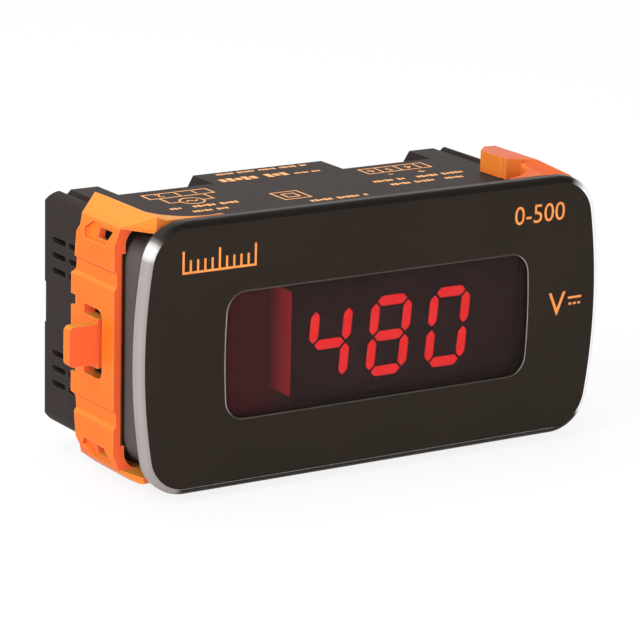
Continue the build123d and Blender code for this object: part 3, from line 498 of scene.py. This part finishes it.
# %% [markdown]
# The plate's edge gathers light: pale towards the bright sides of the studio, dark above and
# below, where it only shows the film. A true lens would do that by refraction, with many more
# samples. Here the edge is solid, and the direction in which it faces, seen from the front, picks
# its tone. The directions are tilted a little, because the light lies higher on the right.

# %% Edge of the plate
rim_finish, tree, shader, colour = moulded("lens_edge", (0.022, 0.017, 0.014), (0.032, 0.025, 0.021),
                                           0.25, gloss=0.06, grain_mm=0.5, cloud_mm=0.1, bump=0.0)
facing = tree.nodes.new("ShaderNodeNewGeometry")
flat = tree.nodes.new("ShaderNodeVectorMath")
flat.operation = "MULTIPLY"
flat.inputs[1].default_value = (1.0, 0.0, 1.0)
tree.links.new(facing.outputs["Normal"], flat.inputs[0])
direction = tree.nodes.new("ShaderNodeVectorMath")
direction.operation = "NORMALIZE"
tree.links.new(flat.outputs[0], direction.inputs[0])


def towards(vector):
    """How far the edge's direction agrees with one direction, from -1 to 1."""
    agree = tree.nodes.new("ShaderNodeVectorMath")
    agree.operation = "DOT_PRODUCT"
    agree.inputs[1].default_value = vector
    tree.links.new(direction.outputs[0], agree.inputs[0])
    return agree.outputs["Value"]


edge_tones = [  # direction, share where the tone starts, share where it is full, tone
    ((-1.0, 0.0, -0.35), 0.45, 0.62, (0.28, 0.25, 0.245)),
    ((1.0, 0.0, 0.35), 0.45, 0.62, (0.86, 0.85, 0.86)),
    ((-0.9, 0.0, 0.44), 0.975, 1.0, (0.6, 0.6, 0.58)),
    ((0.0, 0.0, 1.0), 0.7, 0.95, (0.009, 0.007, 0.006)),
]
for vector, starts, full, tone in edge_tones:
    colour = blend_colours(tree, ramp(tree, towards(vector), starts, full), colour, tone)
tree.links.new(colour, shader.inputs["Base Color"])
print("edge tones:", len(edge_tones))

# %% [markdown]
# Behind the plate lie the film, in a dark brown black, and the filter over the window. The filter
# is half clear, and on its left it is redder, where the light of the digits fills the space
# behind it. Its alpha counts twice, because light passes both of its faces.

# %% Film and filter
finishes["print_film"] = moulded("print_film", (0.019, 0.0135, 0.0095), (0.026, 0.019, 0.0135), 0.6,
                                 gloss=0.05, grain_mm=1.2, cloud_mm=0.05, bump=0.0)[0]
red_filter, tree, shader, colour = moulded("red_filter", (0.037, 0.02, 0.019), (0.045, 0.025, 0.024),
                                           0.5, gloss=0.03, grain_mm=0.8, cloud_mm=0.05, bump=0.0)
glow_starts, glow_full = -16.0 * MM, -24.0 * MM
near_left = ramp(tree, place_parts(tree)["X"], glow_starts, glow_full)
tree.links.new(blend_colours(tree, near_left, colour, (0.078, 0.019, 0.022)),
               shader.inputs["Base Color"])
shader.inputs["Alpha"].default_value = 0.5
finishes["red_filter"] = red_filter
print("front finishes ready")

# %% [markdown]
# The digits are lamps, so their finish gives off light. The housing round them is dark, but its
# left wall catches their red, more so near the front. A little emission by direction and depth
# paints that glow, which real bounce light would give only with far more samples.

# %% Display housing and segments
housing, tree, shader, colour = moulded("display_body", (0.012, 0.007, 0.006), (0.02, 0.011, 0.01), 0.6,
                                        gloss=0.1, grain_mm=2.0)
leftward = math_node(tree, "MULTIPLY", facing_parts(tree)["X"], -1.0)
near = ramp(tree, place_parts(tree)["Y"], 6.0 * MM, -1.0 * MM)
warm = math_node(tree, "MULTIPLY", ramp(tree, leftward, 0.5, 0.9), near, clamp=True)
tree.links.new(blend_colours(tree, warm, (0.0, 0.0, 0.0), (0.82, 0.016, 0.035)),
               shader.inputs["Emission Color"])
shader.inputs["Emission Strength"].default_value = 1.0
finishes["display_body"] = housing
lit, tree, shader, colour = moulded("lit_segment", (0.85, 0.012, 0.014), (1.0, 0.03, 0.03), 0.5,
                                    gloss=0.1, grain_mm=0.9, cloud_mm=0.25, bump=0.0)
tree.links.new(colour, shader.inputs["Emission Color"])
shader.inputs["Emission Strength"].default_value = 3.1
finishes["lit_segment"] = lit
finishes["dark_segment"] = moulded("dark_segment", (0.02, 0.004, 0.004), (0.03, 0.006, 0.006), 0.5,
                                   gloss=0.1, grain_mm=2.0)[0]
print("display finishes ready")

# %% [markdown]
# Behind the case walls are the boards, the transformer and the terminals. They show through the
# window, the vents and the wells, so they get honest finishes too: green lacquer over copper
# tracks, the edges of stacked steel sheets, wound wire, printed sleeves and plated metal. Only
# the board that carries the digits is dark, because it would show behind the window.

# %% Boards, chips and bobbin
finishes["white_plastic"] = moulded("white_plastic", (0.6, 0.58, 0.52), (0.72, 0.7, 0.64), 0.5)[0]
finishes["chip_epoxy"] = moulded("chip_epoxy", (0.014, 0.014, 0.015), (0.024, 0.024, 0.025), 0.55,
                                 gloss=0.3, grain_mm=4.0, bump=0.3)[0]
board, tree, shader, colour = moulded("circuit_board", (0.012, 0.085, 0.03), (0.018, 0.12, 0.042), 0.35,
                                      gloss=0.5, grain_mm=1.0)
place_read = tree.nodes.new("ShaderNodeTexCoord")
tracks = tree.nodes.new("ShaderNodeTexBrick")
tracks.inputs["Scale"].default_value = 260.0
tracks.inputs["Mortar Size"].default_value = 0.08
tracks.inputs["Color1"].default_value = (0, 0, 0, 1)
tracks.inputs["Color2"].default_value = (0, 0, 0, 1)
tracks.inputs["Mortar"].default_value = (1, 1, 1, 1)
tree.links.new(place_read.outputs["Object"], tracks.inputs["Vector"])
tree.links.new(blend_colours(tree, tracks.outputs["Fac"], colour, (0.04, 0.22, 0.08)),
               shader.inputs["Base Color"])
finishes["circuit_board"] = board
print("board ready")

# %% Banded finishes
def banded(name, dark, light, rough, direction, per_mm, metallic=0.0, depth=0.3):
    """Finish with even bands: sheet edges, windings or the marks of a brush."""
    finish, tree, shader, colour = moulded(name, dark, light, rough, grain_mm=2.0, bump=0.0)
    shader.inputs["Metallic"].default_value = metallic
    placed = use_group(tree, bands, Direction=direction, Per_mm=per_mm)
    shade = tuple(value * 0.45 for value in dark)
    share = math_node(tree, "MULTIPLY", placed.outputs["Bands"], depth)
    tree.links.new(blend_colours(tree, share, colour, shade), shader.inputs["Base Color"])
    relief = tree.nodes.new("ShaderNodeBump")
    relief.inputs["Strength"].default_value = 0.4
    relief.inputs["Distance"].default_value = 0.05 * MM
    tree.links.new(placed.outputs["Bands"], relief.inputs["Height"])
    tree.links.new(relief.outputs[0], shader.inputs["Normal"])
    return finish


finishes["core_steel"] = banded("core_steel", (0.22, 0.22, 0.23), (0.36, 0.36, 0.37), 0.4, (0, 1, 0),
                                2.0, metallic=0.9, depth=0.7)
finishes["copper"] = banded("copper", (0.5, 0.17, 0.06), (0.68, 0.26, 0.1), 0.3, (0, 0, 1), 4.0,
                            metallic=0.8, depth=0.6)
finishes["screw_steel"] = banded("screw_steel", (0.5, 0.49, 0.46), (0.68, 0.67, 0.64), 0.3, (1, 0, 1),
                                 6.0, metallic=1.0, depth=0.15)
finishes["cage_steel"] = banded("cage_steel", (0.48, 0.45, 0.36), (0.62, 0.58, 0.47), 0.35, (1, 0, 0),
                                5.0, metallic=1.0, depth=0.2)
finishes["brass"] = banded("brass", (0.6, 0.45, 0.2), (0.75, 0.6, 0.3), 0.3, (0, 0, 1), 5.0,
                           metallic=1.0, depth=0.15)
finishes["capacitor_sleeve"] = banded("capacitor_sleeve", (0.012, 0.018, 0.06), (0.02, 0.03, 0.09), 0.3,
                                      (0, 1, 0), 0.14, depth=0.5)
finishes["resistor_coat"] = banded("resistor_coat", (0.12, 0.3, 0.48), (0.17, 0.38, 0.58), 0.45,
                                   (1, 0, 0), 0.6, depth=0.8)
print("banded finishes ready")

# %% Each node gets the finish of its slot
dark_board = moulded("dark_board", (0.012, 0.007, 0.006), (0.02, 0.011, 0.01), 0.6, gloss=0.1,
                     grain_mm=1.0)[0]
for row in frame["record"]["subparts"]:
    target = nodes[row["node"]]
    target.data.materials.clear()
    target.data.materials.append(finishes[row["material_slot"]])
nodes["display_board"].data.materials[0] = dark_board

# %% [markdown]
# A moulded edge is never sharp: the mould rounds it and light catches it. The solids are loose
# triangles, so a copy is merged, flat faces are joined again, and a small bevel on the sharp
# edges gives that thin line of light. The copy stands for its node.

# %% Helpers for pieces
merge_reach = 2e-6


def merged_copy(node, flat_degrees=0.0):
    """Bmesh of a node with its triangles merged and its flat faces made one."""
    work = bmesh.new()
    work.from_mesh(nodes[node].data)
    bmesh.ops.remove_doubles(work, verts=work.verts, dist=merge_reach)
    if flat_degrees:
        bmesh.ops.dissolve_limit(work, angle_limit=math.radians(flat_degrees), verts=work.verts,
                                 edges=work.edges)
    return work


def shown(work, name, finish, body, replaced=None):
    """Piece made from a bmesh, with its finish and the body that carries it."""
    mesh = bpy.data.meshes.new(name)
    work.to_mesh(mesh)
    work.free()
    mesh.materials.append(finish)
    piece = bpy.data.objects.new(name, mesh)
    bpy.context.scene.collection.objects.link(piece)
    if replaced:
        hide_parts(replaced)
    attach(piece, body)
    print(name, len(mesh.polygons), "faces")
    return piece


print("helpers for pieces ready")

# %% Softened copies of the solids
def soften(node, bevel_mm, slot, sharp_degrees=32.0, finish=None, flat_degrees=0.5):
    """Copy of a node with smooth shading and soft edges, which stands for the node."""
    piece = shown(merged_copy(node, flat_degrees), node + "_finished", finish or finishes[slot],
                  nodes[node]["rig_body"], replaced=node)
    mesh = piece.data
    for polygon in mesh.polygons:
        polygon.use_smooth = True
    mesh.set_sharp_from_angle(angle=math.radians(sharp_degrees))
    if bevel_mm:
        rounding = piece.modifiers.new("soft_edges", "BEVEL")
        rounding.width = bevel_mm * MM
        rounding.segments = 2
        rounding.limit_method = "ANGLE"
        rounding.angle_limit = math.radians(sharp_degrees)
        rounding.use_clamp_overlap = True
        rounding.miter_outer = "MITER_ARC"
    evening = piece.modifiers.new("even_shading", "WEIGHTED_NORMAL")
    evening.keep_sharp = not bevel_mm
    evening.weight = 80
    return piece


soften("case", 0.22, "black_plastic")
soften("bezel_frame", 0.2, "black_plastic", finish=bezel_black)
soften("left_clip", 0.2, "orange_plastic")
soften("right_clip", 0.2, "orange_plastic")
lens = soften("front_lens", 0.0, "clear_lens", sharp_degrees=50.0, flat_degrees=0.05)
# %% [markdown]
# A terminal screw turns in its cage, and the cage slides along its shank. In the solids the shank
# just touches the cage's side walls, so here it is drawn in by a few hundredths of a millimetre.

# %% Terminals
shank_reach = 1.7 * MM
shank_slimming = 0.97


def slim_shank(piece, node):
    """Draw the shank in a little, so that it never rubs the cage that slides along it."""
    low, high = (Vector(corner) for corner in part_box(node))
    axis = (low + high) / 2
    for vertex in piece.data.vertices:
        across = Vector((vertex.co.x - axis.x, 0.0, vertex.co.z - axis.z))
        if across.length < shank_reach:
            vertex.co -= across * (1 - shank_slimming)


for side in ("left", "right"):
    soften(side + "_terminal_block", 0.15, "terminal_plastic")
    for number in (1, 2, 3):
        node = f"{side}_terminal_screw_{number}"
        slim_shank(soften(node, 0.08, "screw_steel", sharp_degrees=40.0), node)
        soften(f"{side}_terminal_cage_{number}", 0.1, "cage_steel", sharp_degrees=40.0)

print("terminals ready")

# %% [markdown]
# The plate needs two more touches. Its rear face comes off the film by a hair, so that two faces
# never share one place. And its rounded edge gets the finish of its own: every face that looks
# neither straight forward nor backward belongs to that edge.

# %% Rear face and edge of the plate
rear_gap = 0.03 * MM
straight_forward, backward = -0.9995, 0.5
lens_rear = max(vertex.co.y for vertex in lens.data.vertices)
for vertex in lens.data.vertices:
    if vertex.co.y > lens_rear - 0.01 * MM:
        vertex.co.y -= rear_gap
lens.data.materials.append(rim_finish)
rim = [face for face in lens.data.polygons if straight_forward < face.normal.y < backward]
for face in rim:
    face.material_index = 1
print("faces in the plate's edge:", len(rim))

# %% [markdown]
# Print is ink a few hundredths of a millimetre thick, so it is drawn as flat shapes just above
# the face that carries it. Bars, frames, rings and numbers are drawn once in a flat sheet, in
# millimetres, and the whole sheet is then laid at the front of the plate or on the case's top.

# %% Bars, frames, rings and lines
def lay(work, made, centre, turn=0.0, size=(1.0, 1.0)):
    place = (Matrix.Translation((centre[0], centre[1], 0.0)) @ Matrix.Rotation(turn, 4, "Z")
             @ Matrix.Diagonal((size[0], size[1], 1.0, 1.0)))
    bmesh.ops.transform(work, matrix=place, verts=made)


def add_bar(work, centre, size, turn=0.0):
    made = bmesh.ops.create_grid(work, x_segments=1, y_segments=1, size=0.5)["verts"]
    lay(work, made, centre, turn, size)
    return made


def hollow(work, made, line):
    """Leave only a line of one width along the outline of a flat face."""
    face = next(face for face in work.faces if set(face.verts) == set(made))
    bmesh.ops.inset_region(work, faces=[face], thickness=line, use_even_offset=True, use_boundary=True)
    bmesh.ops.delete(work, geom=[face], context="FACES_ONLY")


def add_frame(work, centre, size, line=0.3):
    hollow(work, add_bar(work, centre, size), line)


def add_ring(work, centre, radius, line=0.3):
    made = bmesh.ops.create_circle(work, cap_ends=True, segments=36, radius=radius)["verts"]
    lay(work, made, centre)
    hollow(work, made, line)


def add_line(work, start, end, line=0.3):
    run = Vector(end) - Vector(start)
    middle = (Vector(start) + Vector(end)) / 2
    add_bar(work, middle, (run.length, line), math.atan2(run.y, run.x))


print("drawing helpers ready")

# %% [markdown]
# Small print is drawn as a row of blocks of uneven height with a gap now and then, which reads as
# words from afar. Numbers are real letters: a text curve becomes a mesh first, and only then is
# it scaled and laid in its place.

# %% Small print and numbers
def add_print(work, x_low, x_high, y, tall):
    """Row of small blocks that reads as small print from afar."""
    step = tall * 0.62
    for index in range(int((x_high - x_low) / step)):
        if index % 6 == 5:
            continue
        height = tall * (0.8 + 0.2 * math.sin(index * 2.4))
        add_bar(work, (x_low + (index + 0.5) * step, y), (step * 0.74, height))


def add_words(work, words, centre, height, turn=0.0):
    letters = bpy.data.curves.new("letters", "FONT")
    letters.body = words
    letters.align_x = "CENTER"
    letters.align_y = "CENTER"
    letters.size = 1.0
    letters.resolution_u = 3
    holder = bpy.data.objects.new("letters", letters)
    bpy.context.scene.collection.objects.link(holder)
    flat = bpy.data.meshes.new_from_object(holder.evaluated_get(bpy.context.evaluated_depsgraph_get()))
    bpy.data.objects.remove(holder)
    bpy.data.curves.remove(letters)
    before = set(work.verts)
    work.from_mesh(flat)
    made = [vertex for vertex in work.verts if vertex not in before]
    bpy.data.meshes.remove(flat)
    tall = max(v.co.y for v in made) - min(v.co.y for v in made)
    middle = sum((Vector((v.co.x, v.co.y, 0)) for v in made), Vector()) / len(made)
    bmesh.ops.translate(work, vec=-middle, verts=made)
    lay(work, made, centre, turn, (height / tall, height / tall))


print("print helpers ready")

# %% From a drawing to a printed piece
def finish_sheet(work, name, place, finish):
    """Turn a flat drawing in millimetres into a printed piece at its place in metres."""
    bmesh.ops.triangulate(work, faces=work.faces)
    bmesh.ops.transform(work, matrix=place @ Matrix.Diagonal((MM, MM, MM, 1.0)), verts=work.verts)
    shown(work, name, finish, "meter")


def ink(name, dark, light, glow):
    finish, tree, shader, colour = moulded(name, dark, light, 0.55, gloss=0.1, grain_mm=1.5,
                                           cloud_mm=0.3, bump=0.0)
    # Painted glow: a weak emission lifts the print, which is no lamp.
    tree.links.new(colour, shader.inputs["Emission Color"])
    shader.inputs["Emission Strength"].default_value = glow
    return finish


print("sheet helpers ready")

# %% [markdown]
# The front carries a unit letter with the sign for direct current beside the window. The two
# upper corners get generic marks: a row of scale ticks on the left, a range in numbers on the
# right. They are printed just under the front surface of the clear plate, so they stand where
# the eye meets the front and not deeper.

# %% Front marks
front_ink = ink("front_ink", (0.75, 0.22, 0.05), (0.95, 0.32, 0.08), 0.12)
print_depth = 0.06 * MM
print_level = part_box("front_lens")[0][1] + print_depth
ink_lift = 0.015 * MM
scale_left, scale_foot, tick_pitch, tick_width = -39.6, 15.4, 1.42, 0.42
work = bmesh.new()
for index in range(11):
    tall = 3.6 if index % 5 == 0 else 2.0
    add_bar(work, (scale_left + index * tick_pitch, scale_foot + tall / 2), (tick_width, tall))
add_bar(work, (scale_left + 5 * tick_pitch, scale_foot - 0.2), (10 * tick_pitch + tick_width, 0.4))
add_words(work, "0-500", (34.4, 17.6), 3.4)
add_words(work, "V", (38.65, 0.95), 4.3)
add_bar(work, (42.6, 1.3), (3.0, 0.42))
for index in range(3):
    add_bar(work, (41.6 + index, 0.15), (0.62, 0.42))
upright = Matrix.Translation((0, print_level - ink_lift, 0)) @ Matrix.Rotation(math.pi / 2, 4, "X")
finish_sheet(work, "front_marks", upright, front_ink)

# %% [markdown]
# The dark ground of the front is printed too, just under the plate's surface, and it leaves the window
# open. Its outline is the flat part of the plate, its opening is the window, and a fill between those two
# loops gives the sheet. A thin pale line runs round the opening. It is a painted highlight on the window's
# moulded outline, and it is paler still at its left and right sides.

# %% Dark ground
def front_loop(node, drawn_in=0.0):
    """Front face of a node alone in a bmesh, drawn in by one distance."""
    work = merged_copy(node)
    front = min(vertex.co.y for vertex in work.verts)
    flat = [one for one in work.faces if one.calc_center_median().y < front + 1e-6]
    face = bmesh.ops.dissolve_faces(work, faces=flat, use_verts=False)["region"][0]
    bmesh.ops.delete(work, geom=[one for one in work.faces if one is not face], context="FACES")
    if drawn_in:
        rim = bmesh.ops.inset_region(work, faces=[face], thickness=drawn_in, use_even_offset=True,
                                     use_boundary=True)["faces"]
        bmesh.ops.delete(work, geom=rim, context="FACES")
    bmesh.ops.translate(work, vec=(0, print_level - face.calc_center_median().y, 0), verts=work.verts)
    return work, face


filter_rim = 1.5 * MM
work, face = front_loop("front_lens")
bmesh.ops.delete(work, geom=[face], context="FACES_ONLY")
window, face = front_loop("red_filter", filter_rim)
bmesh.ops.delete(window, geom=[face], context="FACES_ONLY")
window_mesh = bpy.data.meshes.new("window")
window.to_mesh(window_mesh)
window.free()
work.from_mesh(window_mesh)
bpy.data.meshes.remove(window_mesh)
bmesh.ops.triangle_fill(work, edges=work.edges, use_beauty=True, normal=(0.0, -1.0, 0.0))
bmesh.ops.scale(work, vec=(1 / MM, 1 / MM, 1 / MM), verts=work.verts)
finish_sheet(work, "front_ground", Matrix.Identity(4), finishes["print_film"])

# %% Line round the window
# Painted highlight on the window's moulded outline, paler again at its left and right sides.
window_line_highlight, tree, shader, colour = moulded("window_line_highlight", (0.085, 0.068, 0.06), (0.12, 0.1, 0.09), 0.5,
                                         gloss=0.05, grain_mm=0.3, cloud_mm=0.1, bump=0.0)
side_starts, side_full = 29.5 * MM, 31.0 * MM
outward = math_node(tree, "ABSOLUTE", place_parts(tree)["X"])
side_highlight = ramp(tree, outward, side_starts, side_full)
tree.links.new(blend_colours(tree, side_highlight, colour, (0.4, 0.35, 0.33)), shader.inputs["Base Color"])
line_width = 0.15 * MM
work, face = front_loop("red_filter", filter_rim - line_width / 2)
bmesh.ops.inset_region(work, faces=[face], thickness=line_width, use_even_offset=True, use_boundary=True)
bmesh.ops.delete(work, geom=[face], context="FACES_ONLY")
bmesh.ops.scale(work, vec=(1 / MM, 1 / MM, 1 / MM), verts=work.verts)
finish_sheet(work, "window_line", Matrix.Translation((0, -ink_lift, 0)), window_line_highlight)

# %% [markdown]
# The case's top has a connection drawing for the fitter, read from the rear: two rows of
# numbered cells for the terminals, the sign of the supply, the sign of double insulation and a
# few lines of small print. Small print becomes plain bars, because at this size it is texture.

# %% Top marks
top_ink = ink("top_ink", (0.8, 0.33, 0.11), (0.95, 0.47, 0.2), 0.1)
case_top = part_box("case")[1][2]
work = bmesh.new()
line = 0.34
add_frame(work, (-23.75, 24.85), (13.3, 3.7), line)
add_line(work, (-23.9, 23.2), (-23.9, 26.5), line)
add_words(work, "2", (-27.3, 24.9), 2.0, math.pi)
add_words(work, "1", (-20.4, 24.9), 2.0, math.pi)
add_ring(work, (-24.1, 19.3), 2.4, line)
add_line(work, (-25.3, 19.0), (-24.6, 19.8), line)
add_line(work, (-24.6, 19.8), (-23.6, 18.8), line)
add_line(work, (-23.6, 18.8), (-22.9, 19.6), line)
for side in (-1, 1):
    reach = -24.1 + side * 4.45
    add_line(work, (-24.1 + side * 2.3, 19.3), (reach, 19.3), line)
    add_line(work, (reach, 19.15), (reach, 23.1), line)
add_frame(work, (-6.3, 15.2), (5.7, 5.7), line)
add_frame(work, (-6.3, 15.2), (2.8, 2.8), line)
add_frame(work, (22.5, 25.2), (14.0, 4.2), line)
for x in (19.0, 23.1, 27.3):
    add_line(work, (x, 23.2), (x, 27.2), line)
for words, x in (("6", 17.2), ("5", 21.0), ("4", 25.2)):
    add_words(work, words, (x, 25.2), 2.0, math.pi)
add_words(work, "-", (19.1, 21.4), 0.4, math.pi)
add_words(work, "+", (25.5, 20.9), 1.6, math.pi)
print_rows = [  # left end, right end, place from the front, height, all in millimetres
    (-31.0, -28.0, 15.2, 1.3), (-26.4, -17.0, 15.2, 1.5), (-28.3, -20.8, 11.9, 1.3),
    (-11.9, 3.2, 30.5, 2.6), (3.6, 9.2, 29.9, 1.0), (-9.9, 9.6, 35.1, 1.2), (-5.7, 6.5, 9.6, 1.5),
    (12.6, 20.4, 17.4, 1.4), (22.0, 32.4, 17.4, 1.5), (14.2, 25.0, 14.1, 1.4), (26.0, 31.5, 14.1, 1.3),
]
for row in print_rows:
    add_print(work, *row)
top_place = Matrix.Translation((0, 0, case_top + 0.012 * MM))
finish_sheet(work, "top_marks", top_place, top_ink)

# %% [markdown]
# A thin dark red border surrounds each lit segment, where its light bleeds into the housing. It
# is a ring drawn outwards from the segment's edge. Its vertices carry a number, 1 inside and 0
# outside, and the material turns that number into a red that fades away.

# %% Borders of the lit segments
border, tree, shader, colour = moulded("segment_border", (0.012, 0.001, 0.001), (0.02, 0.002, 0.002), 0.6,
                                       gloss=0.0, grain_mm=2.0, bump=0.0)
fade = tree.nodes.new("ShaderNodeAttribute")
fade.attribute_name = "fade"
tree.links.new(blend_colours(tree, fade.outputs["Fac"], (0.004, 0.0, 0.0), (0.09, 0.002, 0.004)),
               shader.inputs["Emission Color"])
shader.inputs["Emission Strength"].default_value = 1.0


def add_border(node, reach):
    """Ring round the front face of each lit segment of a digit."""
    work = merged_copy(node, 0.5)
    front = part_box(node)[0][1]
    behind = [face for face in work.faces if face.calc_center_median().y > front + 1e-5]
    bmesh.ops.delete(work, geom=behind, context="FACES")
    fade_layer = work.verts.layers.float.new("fade")
    for vertex in work.verts:
        vertex[fade_layer] = 1.0
    for face in list(work.faces):
        centre = face.calc_center_median()
        grown = bmesh.ops.extrude_edge_only(work, edges=face.edges)["geom"]
        outer = [item for item in grown if isinstance(item, bmesh.types.BMVert)]
        wide = max(v.co.x for v in outer) - min(v.co.x for v in outer)
        tall = max(v.co.z for v in outer) - min(v.co.z for v in outer)
        bmesh.ops.scale(work, vec=(1 + 2 * reach / wide, 1, 1 + 2 * reach / tall),
                        space=Matrix.Translation(-centre), verts=outer)
        for vertex in outer:
            vertex[fade_layer] = 0.0
        bmesh.ops.delete(work, geom=[face], context="FACES_ONLY")
    bmesh.ops.translate(work, vec=(0, -0.02 * MM, 0), verts=work.verts)
    bmesh.ops.recalc_face_normals(work, faces=work.faces)
    shown(work, node + "_border", border, "meter")


for node in ("left_digit_lit", "middle_digit_lit", "right_digit_lit"):
    add_border(node, 0.24 * MM)
